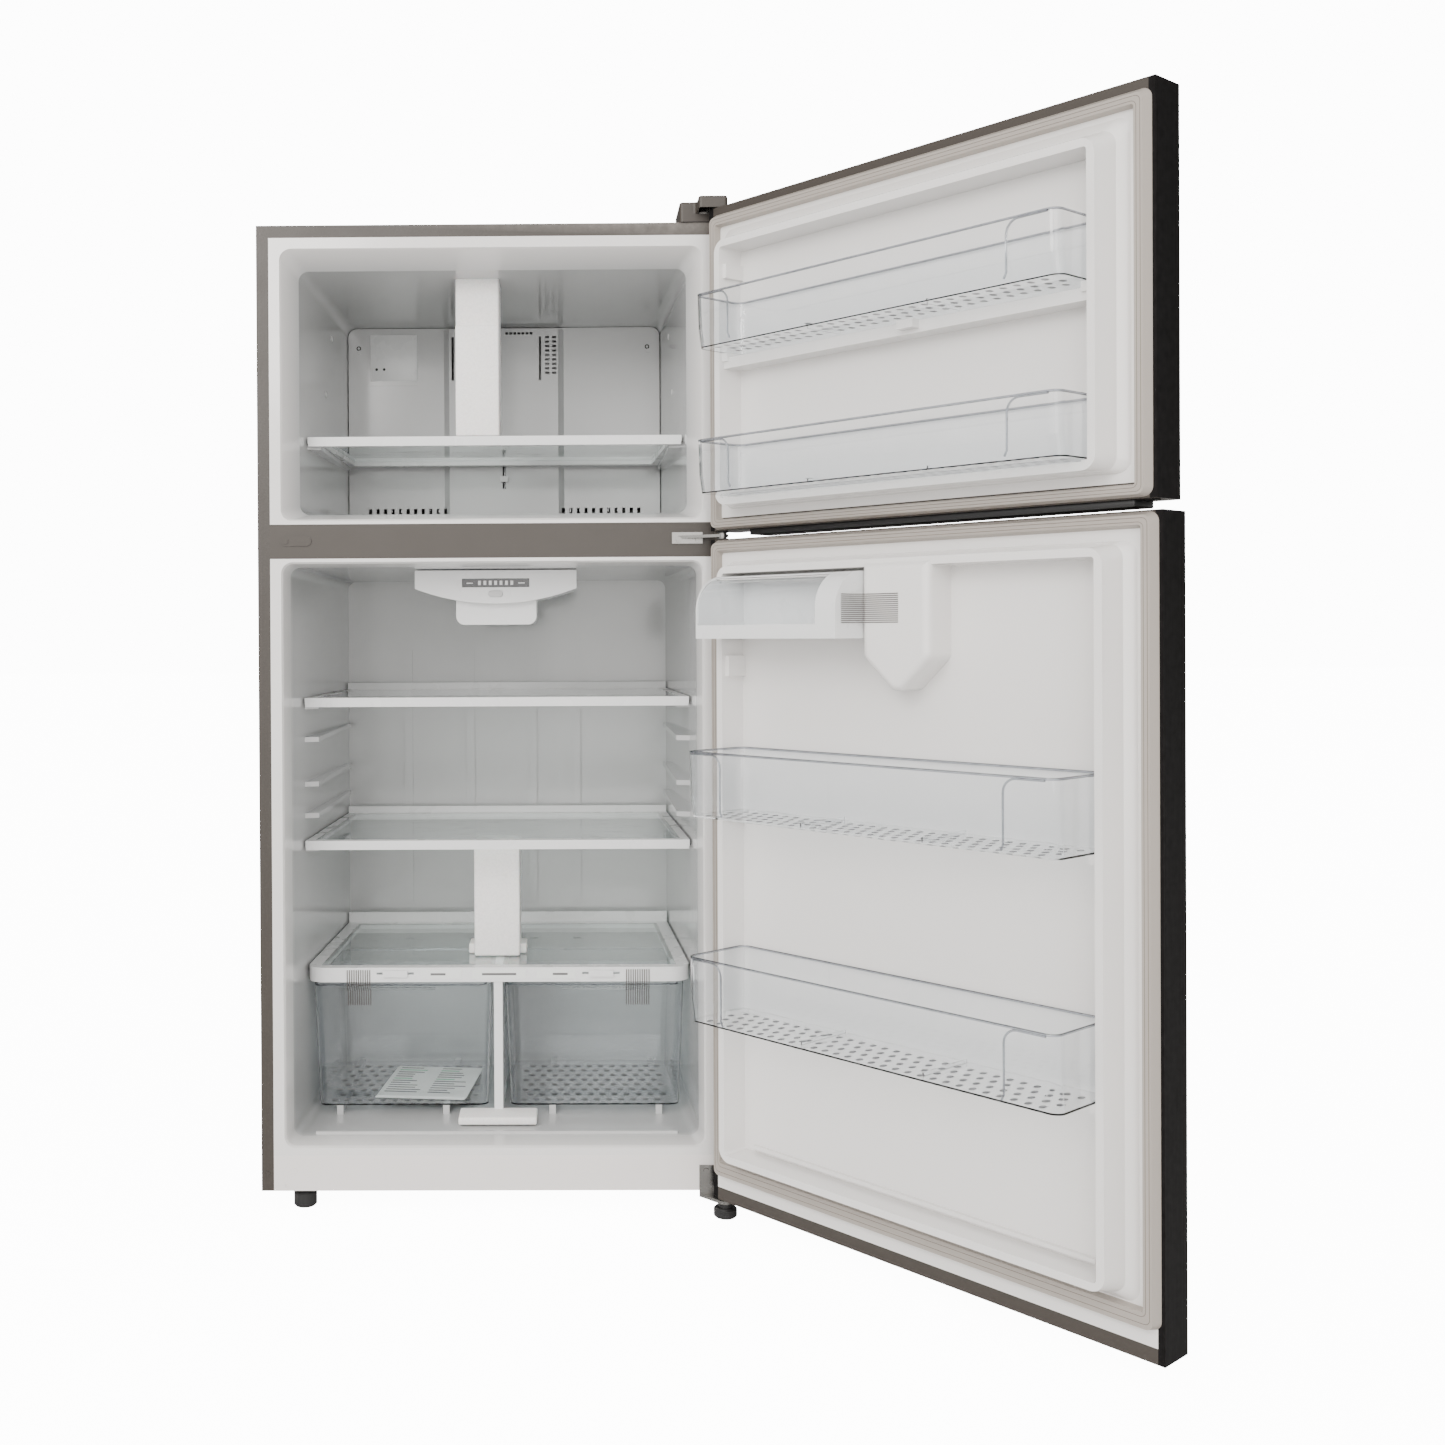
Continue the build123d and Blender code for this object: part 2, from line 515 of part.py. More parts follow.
BOX_HALF = 150.0
BOX_Y0, BOX_Y1 = 128.0, 290.0
BUTTON_W, BUTTON_H = 26.0, 11.0
with BuildPart() as control_box:
    ceiling = wall_at(FRIDGE_FORM, BOX_Y1)[2]
    low, shoulder = ceiling - 62, ceiling - 34
    with BuildSketch(upright(BOX_Y1)):
        with BuildLine():
            Polyline((-BOX_HALF, shoulder), (-BOX_HALF, ceiling), (BOX_HALF, ceiling), (BOX_HALF, shoulder))
            ThreePointArc((BOX_HALF, shoulder), (0, low), (-BOX_HALF, shoulder))
        make_face()
    extrude(amount=BOX_Y1 - BOX_Y0)
    # lamp cover below it
    with BuildSketch(upright(BOX_Y1)):
        with Locations((0, low - 6)):
            RectangleRounded(150, 66, 16)
    extrude(amount=BOX_Y1 - BOX_Y0 - 22)
    block(-63, 63, BOX_Y0 - 1, BOX_Y0 + 1.2, ceiling - 32, ceiling - 15, mode=Mode.SUBTRACT)
    button_z = ceiling - 44
    with BuildSketch(upright(BOX_Y0 + 9)):
        with Locations((0, button_z)):
            SlotOverall(BUTTON_W + 1, BUTTON_H + 1)
    extrude(amount=10, mode=Mode.SUBTRACT)
hand_in(control_box.part, "control_box")

BUTTON_TRAVEL = 2.0
with BuildPart() as control_button:
    with BuildSketch(upright(BOX_Y0 + 9 - BUTTON_TRAVEL - SLIDE_FIT)):
        with Locations((0, button_z)):
            SlotOverall(BUTTON_W, BUTTON_H)
    extrude(amount=9)
hand_in(control_button.part, "control_button")

SLIDER_X, SLIDER_W, SLIDER_TRAVEL = 192.0, 46.0, 20.0
with BuildPart() as crisper_cover:
    with BuildSketch(level(COVER_Z - SHELF_T)):
        with BuildLine():
            Polyline(*wall_outline(FRIDGE_FORM, COVER_Y0, fridge_shelf_back, SHELF_GAP), close=True)
        make_face()
        fillet(vertices().group_by(Axis.Y)[0], radius=34)
    extrude(amount=SHELF_T)
    for drop, inset in ((SHELF_T + 1, 30), (GLASS_T, 24)):
        with BuildSketch(level(COVER_Z - drop)):
            with BuildLine():
                Polyline(*wall_outline(FRIDGE_FORM, COVER_Y0 + inset, fridge_shelf_back - inset,
                                       SHELF_GAP + inset), close=True)
            make_face()
        extrude(amount=drop + 1, mode=Mode.SUBTRACT)
    with BuildSketch(level(COVER_Z - COVER_RAIL)):
        with BuildLine():
            Polyline(*wall_outline(FRIDGE_FORM, COVER_Y0, COVER_Y0 + COVER_SKIRT, SHELF_GAP), close=True)
        make_face()
        fillet(vertices().group_by(Axis.Y)[0], radius=34)
    extrude(amount=COVER_RAIL)
    with BuildSketch(level(COVER_Z - COVER_RAIL - 1)):
        with BuildLine():
            Polyline(*wall_outline(FRIDGE_FORM, COVER_Y0 + 6, COVER_SKIRT_Y + 4, SHELF_GAP + 6), close=True)
        make_face()
        fillet(vertices().group_by(Axis.Y)[0], radius=28)
    extrude(amount=COVER_RAIL - 1, mode=Mode.SUBTRACT)
    with BuildSketch(level(COVER_Z - 3)):
        with BuildLine():
            Polyline(*wall_outline(FRIDGE_FORM, COVER_Y0 + 24, COVER_SKIRT_Y + 4, SHELF_GAP + 24),
                     close=True)
        make_face()
    extrude(amount=4, mode=Mode.SUBTRACT)
    back = wall_at(FRIDGE_FORM, fridge_shelf_back)[0] - SHELF_GAP
    block(-back, back, fridge_shelf_back - 4, fridge_shelf_back, COVER_Z - SHELF_T, COVER_Z + 22)
    # divider between the crispers
    block(-8, 8, COVER_Y0 + 3, HUMP_Y - 4, CRISPER_Z0 - 8, COVER_Z - SHELF_T)
    block(-8, 8, COVER_Y0 + 3, fridge_shelf_back - 3, COVER_Z - SHELF_T - 4, COVER_Z - GLASS_T - 0.2)
    for x in (-SLIDER_X, SLIDER_X):
        reach = SLIDER_W / 2 + SLIDER_TRAVEL - 8
        block(x - reach, x + reach, COVER_Y0 - 1, COVER_Y0 + 7, COVER_Z - 13, COVER_Z - 9, mode=Mode.SUBTRACT)
hand_in(crisper_cover.part, "crisper_cover")

with BuildPart() as crisper_glass:
    with BuildSketch(level(COVER_Z - GLASS_T)):
        with BuildLine():
            inset = 24 + SLIDE_FIT
            Polyline(*wall_outline(FRIDGE_FORM, COVER_Y0 + inset, fridge_shelf_back - inset,
                                   SHELF_GAP + inset), close=True)
        make_face()
    extrude(amount=GLASS_T - 0.4)
hand_in(crisper_glass.part, "crisper_glass")

for hand, x in (("left", -SLIDER_X), ("right", SLIDER_X)):
    with BuildPart() as humidity_slider:
        half = SLIDER_W / 2
        block(x - half, x + half, COVER_Y0 - 5, COVER_Y0 - SLIDE_FIT, COVER_Z - 17, COVER_Z - 5)
        block(x - 10, x + 10, COVER_Y0 - 2, COVER_Y0 + 4, COVER_Z - 12.5, COVER_Z - 9.5)
    hand_in(humidity_slider.part, f"humidity_slider_{hand}")

CRISPER_DRAFT = 9.0  # how far each side leans in from top to bottom
for hand, side in (("left", -1), ("right", 1)):
    y0, y1 = CRISPER_Y, CRISPER_Y + CRISPER_D
    near, far = (wall_at(FRIDGE_FORM, y)[0] - LEDGE_OUT - SHELF_GAP for y in (y0, y1))
    with BuildPart() as crisper:
        for wall, mode in ((0, Mode.ADD), (CRISPER_WALL, Mode.SUBTRACT)):
            for z, lean in ((CRISPER_Z1, 0), (CRISPER_Z0 + wall, CRISPER_DRAFT)):
                inset = wall + lean
                with BuildSketch(level(z)):
                    with BuildLine():
                        Polyline((side * (CRISPER_HALF_GAP + inset), y0 + inset),
                                 (side * (near - inset), y0 + inset), (side * (far - inset), y1 - inset),
                                 (side * (CRISPER_HALF_GAP + inset), y1 - inset), close=True)
                    make_face()
                    fillet(vertices(), radius=16 - wall)
            loft(ruled=True, mode=mode)
        middle = side * (CRISPER_HALF_GAP + near) / 2
        block(middle - 62, middle + 62, y0 - 9, y0 + 2, CRISPER_Z1 - 8, CRISPER_Z1 - 5)
    hand_in(crisper.part, f"crisper_{hand}")

# ---------------------------------------------------------------- machine compartment
with BuildPart() as machine_cover:
    block(-inner + 0.5, inner - 0.5, BACK_Y - 2.3, BACK_Y - 0.3, CASE_Z0 + PAN_T + 0.3, MACHINE_Z - 0.3)
    for x0 in (-330, 130):
        with Locations(CAB.location * Location((x0 + 100, BACK_Y, CASE_Z0 + 120))):
            with GridLocations(200 / 9, 26, 10, 6):
                Box(12, 8, 16, mode=Mode.SUBTRACT)
    rod_along_y(9, -60, CASE_Z0 + 60, BACK_Y - 4, BACK_Y + 1, mode=Mode.SUBTRACT)
hand_in(machine_cover.part, "machine_cover")

GLAND_R, GLAND_L = 4.0, 15.0
with BuildPart() as cord_gland:
    gland_z = CASE_Z0 + 60
    rod_along_y(8.9, -60, gland_z, CASE_D - GLAND_L, CASE_D)
    rod_along_y(12, -60, gland_z, BACK_Y - 0.3, CASE_D)
    rod_along_y(GLAND_R, -60, gland_z, BACK_Y - 20, BACK_Y + 20, mode=Mode.SUBTRACT)
hand_in(cord_gland.part, "cord_gland")

with BuildPart() as compressor:
    compressor_x, compressor_y = 235.0, (MACHINE_Y + BACK_Y) / 2 - 2
    shell_r, shell_z = 76.0, CASE_Z0 + PAN_T + 16
    rod(shell_r, compressor_x, compressor_y, shell_z, shell_z + 128)
    fillet(compressor.edges().filter_by(GeomType.CIRCLE), radius=30)
    rod(shell_r + 2, compressor_x, compressor_y, shell_z + 66, shell_z + 72)
    block(compressor_x - 95, compressor_x + 95, compressor_y - 60, compressor_y + 60, shell_z, shell_z + 3)
    for dx in (-84, 84):
        for dy in (-50, 50):
            rod(11, compressor_x + dx, compressor_y + dy, CASE_Z0 + PAN_T, shell_z)
hand_in(compressor.part, "compressor")

with BuildPart() as condenser:
    cond_z0, cond_z1 = CASE_Z0 + PAN_T + 8, CASE_Z0 + 150
    cond_y0, cond_y1 = MACHINE_Y + 22, BACK_Y - 26
    with Locations(CAB.location * Location((-235, (cond_y0 + cond_y1) / 2, (cond_z0 + cond_z1) / 2))):
        with GridLocations(14, 1, 18, 1):
            Box(1.2, cond_y1 - cond_y0, cond_z1 - cond_z0)
    for z in (cond_z0 + 20, cond_z0 + 66, cond_z0 + 112):
        for y in (cond_y0 + 20, (cond_y0 + cond_y1) / 2, cond_y1 - 20):
            rod_along_x(3, y, z, -368, -106)
    for x in (-362, -118):
        block(x, x + 3, cond_y0, cond_y1, CASE_Z0 + PAN_T, cond_z1)
hand_in(condenser.part, "condenser")

COND_FAN_X, COND_FAN_Z = -60.0, CASE_Z0 + 100.0
fan_y = (MACHINE_Y + BACK_Y) / 2 - 5
cond_plane = Plane(origin=CAB.from_local_coords((COND_FAN_X, fan_y, COND_FAN_Z)), x_dir=CAB.y_dir,
                   z_dir=-CAB.x_dir)
condenser_fan = fan_blades(cond_plane, 16, 62, 18)
hand_in(condenser_fan, "condenser_fan")

with BuildPart() as condenser_fan_motor:
    rod_along_x(28, fan_y, COND_FAN_Z, COND_FAN_X + 5, COND_FAN_X + 50)
    rod_along_x(2, fan_y, COND_FAN_Z, COND_FAN_X - 14, COND_FAN_X + 6)
    block(COND_FAN_X + 30, COND_FAN_X + 34, fan_y - 50, fan_y + 50, CASE_Z0 + PAN_T, COND_FAN_Z)
hand_in(condenser_fan_motor.part, "condenser_fan_motor")

# ---------------------------------------------------------------- feet and rollers
for hand, x in (("left", -ROLLER_X), ("right", ROLLER_X)):
    with BuildPart() as roller:
        rod_along_x(ROLLER_R, ROLLER_Y, ROLLER_R, x - ROLLER_W / 2, x + ROLLER_W / 2)
        chamfer(roller.edges().filter_by(GeomType.CIRCLE), 1.5)
        rod_along_x(AXLE_R, ROLLER_Y, ROLLER_R, x - ROLLER_W / 2 - 8, x + ROLLER_W / 2 + 8)
    hand_in(roller.part, f"roller_{hand}")

HINGE_Y = -HINGE_FORWARD
BRACKET_FOOT_Z = CASE_Z0 - 11.0
PIN_FOOT_R = 4.0
for hand, x, y, top, screw_r, screw_top in (
    ("left", FOOT_X, FOOT_Y, CASE_Z0 - 1.5, FOOT_SCREW_R, CASE_Z0 + 26),
    ("right", HINGE_X, HINGE_Y, BRACKET_FOOT_Z - 0.5, PIN_FOOT_R, BRACKET_FOOT_Z + 9),
):
    with BuildPart() as foot:
        rod(FOOT_R, x, y, 0, top - 6)
        chamfer(foot.edges().filter_by(GeomType.CIRCLE), 3)
        rod(FOOT_R - 7, x, y, top - 7, top)
        rod(screw_r, x, y, top - 1, screw_top)
    hand_in(foot.part, f"foot_{hand}")

# ---------------------------------------------------------------- hinges
HINGE_T = 5.0
PLATE_T = 3.0
SCREW_HEAD = 5.0


def hinge_arm(x0, x1, root_y, z, thickness, lobe_r):
    """A flat arm from a straight root on the cabinet to a round lobe about the hinge axis."""
    with BuildSketch(level(z)) as plan:
        with BuildLine():
            Polyline((x0, root_y), (x1, root_y), (HINGE_X + lobe_r, HINGE_Y), (HINGE_X - 4, HINGE_Y - lobe_r),
                     close=True)
        make_face()
        with Locations((HINGE_X, HINGE_Y)):
            Circle(lobe_r)
    extrude(plan.sketch, amount=thickness)


top_arm_z = FREEZER_DOOR_Z1 + 3
with BuildPart() as top_hinge:
    block(HINGE_X - 60, HINGE_X + 3, -1, 92, CASE_Z1, CASE_Z1 + PLATE_T)
    block(HINGE_X - 50, HINGE_X - 5, -1, 6, CASE_Z1, top_arm_z + 4)
    hinge_arm(HINGE_X - 43, HINGE_X - 5, 6, top_arm_z, 4, 8)
    rod(PIN_R, HINGE_X, HINGE_Y, FREEZER_DOOR_Z1 - PIN_L, top_arm_z + 1)
    rod(8, HINGE_X, HINGE_Y, FREEZER_DOOR_Z1 + 0.3, top_arm_z + 1)
    for x, y in ((HINGE_X - 42, 26), (HINGE_X - 12, 26), (HINGE_X - 28, 74)):
        rod(6, x, y, CASE_Z1, CASE_Z1 + PLATE_T + 4)
hand_in(top_hinge.part, "top_hinge")

with BuildPart() as top_hinge_cover:
    cover_x0, cover_x1, cover_top = HINGE_X - 70, HALF_W, CASE_Z1 + 35
    lift = FREEZER_DOOR_Z1 + 1.5
    block(cover_x0, cover_x1, -5, 104, CASE_Z1, cover_top)
    block(cover_x0 + 30, cover_x1, HINGE_Y - 16, -4, lift, cover_top)
    fillet(top_hinge_cover.edges().filter_by(Axis.Z), radius=6)
    fillet(top_hinge_cover.faces().sort_by(Axis.Z)[-1].edges(), radius=4)
    block(cover_x0 + 2.5, cover_x1 - 2.5, -2.5, 101.5, CASE_Z1 - 1, cover_top - 2.5, mode=Mode.SUBTRACT)
    block(cover_x0 + 32.5, cover_x1 - 2.5, HINGE_Y - 13.5, 0, lift - 1, cover_top - 2.5, mode=Mode.SUBTRACT)
hand_in(top_hinge_cover.part, "top_hinge_cover")

split_z = FREEZER_DOOR_Z0 - DOOR_SPLIT / 2
with BuildPart() as middle_hinge:
    arm_z = split_z - HINGE_T / 2
    block(HINGE_X - 86, HINGE_X - 32, -PLATE_T, 0, split_z - 11.5, split_z + 8.5)
    hinge_arm(HINGE_X - 78, HINGE_X - 34, -PLATE_T / 2, arm_z, HINGE_T, 11)
    rod(PIN_R, HINGE_X, HINGE_Y, FRIDGE_DOOR_Z1 - 13, FREEZER_DOOR_Z0 + 13)
    rod(8, HINGE_X, HINGE_Y, FRIDGE_DOOR_Z1 + 0.3, FREEZER_DOOR_Z0 - 0.3)
    for x in (HINGE_X - 74, HINGE_X - 39):
        rod_along_y(SCREW_HEAD, x, split_z - 4.5, -PLATE_T - 2.5, -PLATE_T / 2)
hand_in(middle_hinge.part, "middle_hinge")

BRACKET_TOP = CASE_Z0 + 45.0
with BuildPart() as lower_hinge:
    block(HINGE_X - 43, HINGE_X + 5, -PLATE_T, 0, BRACKET_FOOT_Z, BRACKET_TOP)
    hinge_arm(HINGE_X - 43, HINGE_X + 5, -PLATE_T / 2, BRACKET_FOOT_Z, 6, 13)
    rod(PIN_R, HINGE_X, HINGE_Y, BRACKET_FOOT_Z, FRIDGE_DOOR_Z0 + PIN_L)
    rod(8, HINGE_X, HINGE_Y, BRACKET_FOOT_Z, FRIDGE_DOOR_Z0 - 0.3)
    rod(PIN_FOOT_R + 0.2, HINGE_X, HINGE_Y, BRACKET_FOOT_Z - 1, BRACKET_FOOT_Z + 10, mode=Mode.SUBTRACT)
    bracket_screws = ((-31, BRACKET_TOP - 10), (-7, BRACKET_TOP - 10), (-20, CASE_Z0 + 12))
    for x, z in ((HINGE_X + side, up) for side, up in bracket_screws):
        rod_along_y(SCREW_HEAD, x, z, -PLATE_T - 2.5, -PLATE_T / 2)
hand_in(lower_hinge.part, "lower_hinge")

# ---------------------------------------------------------------- doors
DOOR_X0, DOOR_X1 = -HINGE_INSET, FREE_U
DOOR_MID = (DOOR_X0 + DOOR_X1) / 2
LINER_SHEET = 2.0
DYKE_IN = 74.0  # inset of the dyke's inner side at its foot
DYKE_CREST = (60.0, 72.0)  # insets of the crest's two edges
GASKET_D = DOOR_GAP - GASKET_FIT


def door_form(base, z0, z1, sections):
    """A solid through rounded rectangles on a door's inner side.

    Each section is a distance inward of the inner face, the insets of the two sides, of the
    bottom and of the top from the door's edges, and a corner radius.
    """
    with BuildPart() as form:
        for pair in zip(sections, sections[1:]):
            for d, side, bottom, top, corner in pair:
                with BuildSketch(upright(V_IN - d, base)):
                    with Locations((DOOR_MID, (z0 + bottom + z1 - top) / 2)):
                        RectangleRounded(CASE_W - 2 * side, z1 - top - z0 - bottom, corner)
            loft(ruled=True)
    return form.part


def dyke(base, z0, z1, bottoms, tops, shrink, sink):
    """The raised ring round a door's liner, drawn in on every side by a shrink."""
    crest = DYKE_D - shrink
    outer = [(-sink, DYKE_INSET + shrink, bottoms[0] + shrink, tops[0] + shrink, 20 - shrink),
             (0, DYKE_INSET + shrink, bottoms[0] + shrink, tops[0] + shrink, 20 - shrink),
             (DOOR_GAP, 50 + shrink, bottoms[1] + shrink, tops[1] + shrink, 22 - shrink),
             (crest, DYKE_CREST[0] + shrink, bottoms[2] + shrink, tops[2] + shrink, 22 - shrink)]
    width = DYKE_CREST[1] - DYKE_CREST[0]
    foot = DYKE_IN - DYKE_CREST[0]
    inner = [(-sink, DYKE_IN - shrink, bottoms[2] + foot - shrink, tops[2] + foot - shrink, 4 + shrink),
             (0, DYKE_IN - shrink, bottoms[2] + foot - shrink, tops[2] + foot - shrink, 4 + shrink),
             (crest, DYKE_CREST[1] - shrink, bottoms[2] + width - shrink, tops[2] + width - shrink,
              5 + shrink)]
    start = 0 if sink else 1
    return door_form(base, z0, z1, outer[start:]) - door_form(base, z0, z1, inner[start:])


def pillar(base, top, shrink, sink):
    """The tapering, softly rounded boss that hangs from the middle of the fridge door's dyke."""
    half, mid, out = 62 - shrink, 424.0, DYKE_D + 8 - shrink
    foot = upright(V_IN + sink, base)
    inward = Axis(foot.origin, foot.z_dir)
    with BuildPart() as boss:
        with BuildSketch(foot):
            with BuildLine():
                Polyline((mid - half, top), (mid + half, top), (mid + half, FRIDGE_DOOR_Z1 - 201 + shrink),
                         (mid + 8, FRIDGE_DOOR_Z1 - 252 + shrink * 1.6),
                         (mid - 8, FRIDGE_DOOR_Z1 - 252 + shrink * 1.6),
                         (mid - half, FRIDGE_DOOR_Z1 - 201 + shrink), close=True)
            make_face()
        extrude(amount=out + sink)
        fillet(boss.edges().filter_by(inward).sort_by(Axis.Z)[:4], 16 - shrink)
        fillet(boss.faces().sort_by(inward)[-1].edges(), 12 - shrink)
    return boss.part


def make_skin(name, base, z0, z1):
    """The folded steel sheet: the front, both sides and their inner returns."""
    with BuildPart() as skin:
        for x0, x1, y0, y1, radius, mode in (
            (DOOR_X0, DOOR_X1, V_IN, V_OUT, DOOR_R, Mode.ADD),
            (DOOR_X0 + SHEET, DOOR_X1 - SHEET, V_IN + SHEET, V_OUT - SHEET, DOOR_R - SHEET, Mode.SUBTRACT),
        ):
            with BuildSketch(level(z0, base)):
                with BuildLine():
                    Polyline((x0, y0), (x1, y0), (x1, y1 - radius))
                    RadiusArc((x1, y1 - radius), (x1 - radius, y1), -radius)
                    Polyline((x1 - radius, y1), (x0 + radius, y1))
                    RadiusArc((x0 + radius, y1), (x0, y1 - radius), -radius)
                    Line((x0, y1 - radius), (x0, y0))
                make_face()
            extrude(amount=z1 - z0, mode=mode)
        block(DOOR_X0 + RETURN_W, DOOR_X1 - RETURN_W, V_IN - 1, V_IN + SHEET + 1, z0, z1, base,
              Mode.SUBTRACT)
    hand_in(skin.part, name)
    return skin.part


def door_core(base, z0, z1, z_low, z_high, skin):
    """The room inside a door's skin between two heights."""
    with BuildPart() as core:
        block(DOOR_X0, DOOR_X1, V_IN, V_OUT, z_low, z_high, base)
        add(skin, mode=Mode.SUBTRACT)
        # corners outside the skin's rounded folds
        for x in (DOOR_X0, DOOR_X1 - DOOR_R):
            block(x, x + DOOR_R, V_OUT - DOOR_R, V_OUT, z_low, z_high, base, Mode.SUBTRACT)
        inset = DOOR_R - SHEET
        for x in (DOOR_X0 + DOOR_R, DOOR_X1 - DOOR_R):
            with Locations(base.location * Location((x, V_OUT - DOOR_R, z_low))):
                Cylinder(inset, z_high - z_low, align=(Align.CENTER, Align.CENTER, Align.MIN))
    return core.part


def make_caps(name, base, z0, z1, skin):
    """The moulded end caps between the side sheets, bored for the hinge pins."""
    with BuildPart() as caps:
        add(door_core(base, z0, z1, z0, z0 + CAP_H, skin))
        add(door_core(base, z0, z1, z1 - CAP_H, z1, skin))
        for z_low in (z0 - 1, z1 - PIN_L - 0.5):
            rod(PIN_R + PIN_FIT, 0, 0, z_low, z_low + PIN_L + 1.5, base, Mode.SUBTRACT)
    hand_in(caps.part, name)
    return caps.part


def make_gasket(name, base, z0, z1, feet, lips):
    """The tapered magnetic seal: insets of its foot and of its contact face."""
    with BuildPart() as gasket:
        (side, bottom, top), (side_in, bottom_in, top_in) = feet
        (lip, lip_bottom, lip_top), (lip_in, lip_bottom_in, lip_top_in) = lips
        add(door_form(base, z0, z1, [(0, side, bottom, top, 14), (GASKET_D, lip, lip_bottom, lip_top, 10)]))
        add(door_form(base, z0, z1, [(0, side_in, bottom_in, top_in, 5),
                                     (GASKET_D, lip_in, lip_bottom_in, lip_top_in, 3)]), mode=Mode.SUBTRACT)
    hand_in(gasket.part, name)


def make_handle(name, base, z0, z1):
    """A straight bar on two posts near the free edge."""
    x = FREE_U - 70
    with BuildPart() as handle:
        with BuildSketch(level(z0, base)):
            with Locations((x, V_OUT + HANDLE_REACH - 7)):
                RectangleRounded(22, 14, 5)
        extrude(amount=z1 - z0)
        for z in (z0 + 14, z1 - 34):
            block(x - 8, x + 8, V_OUT, V_OUT + HANDLE_REACH - 7, z, z + 20, base)
    hand_in(handle.part, name)


def tub(base, x0, x1, y0, y1, z, height, lean):
    """An open tub with rounded corners whose front leans in towards its floor."""
    with BuildPart() as shell:
        for wall, mode in ((0, Mode.ADD), (BIN_WALL, Mode.SUBTRACT)):
            sections = ((z + wall, lean), (z + height * 0.35, lean / 4), (z + height, 0))
            for pair in zip(sections, sections[1:]):
                for section_z, back in pair:
                    front = y1 + wall + back
                    with BuildSketch(level(section_z, base)):
                        with Locations(((x0 + x1) / 2, (front + y0 - wall) / 2)):
                            RectangleRounded(x1 - x0 - 2 * wall, y0 - wall - front, 16 - wall)
                loft(ruled=True, mode=mode)
    return shell.part


BIN_X0, BIN_X1 = DOOR_X0 + DYKE_IN + 1.5, DOOR_X1 - DYKE_IN - 1.5


def make_bin(name, base, z, depth, height):
    """A full-width door bin with a rim bead and two low dividers in its floor."""
    with BuildPart() as door_bin:
        add(tub(base, BIN_X0, BIN_X1, V_IN - 4, V_IN - depth, z, height, 8))
        for x in (BIN_X0 + (BIN_X1 - BIN_X0) / 3, BIN_X1 - (BIN_X1 - BIN_X0) / 3):
            block(x - 1.2, x + 1.2, V_IN - depth + 24, V_IN - 12, z + 1, z + 8, base)
    hand_in(door_bin.part, name)


def bin_seats(base, z):
    """The lugs on the dyke's inner sides that a bin stands on."""
    for x0, x1 in ((BIN_X0 - 4, BIN_X0 + 9), (BIN_X1 - 9, BIN_X1 + 4)):
        block(x0, x1, V_IN - DYKE_D + 6, V_IN - 1, z - SLIDE_FIT - 14, z - SLIDE_FIT, base)


def make_liner(base, z0, z1, bottoms, tops, bin_zs, lugs, bosses, hollows):
    """The moulded inner face: a sheet, its raised ring and bosses, and what the bins stand on."""
    with BuildPart() as liner:
        block(DOOR_X0 + 2, DOOR_X1 - 2, V_IN, V_IN + LINER_SHEET, z0 + CAP_H, z1 - CAP_H, base)
        add(dyke(base, z0, z1, bottoms, tops, 0, LINER_SHEET))
        for boss in bosses:
            add(boss)
        add(dyke(base, z0, z1, bottoms, tops, LINER_T, FOAM_SINK), mode=Mode.SUBTRACT)
        for hollow in hollows:
            add(hollow, mode=Mode.SUBTRACT)
        for z in bin_zs:
            bin_seats(base, z)
        for x0, x1, out, low, high in lugs:
            block(x0, x1, V_IN - out, V_IN + 1, low, high, base)
    return liner.part


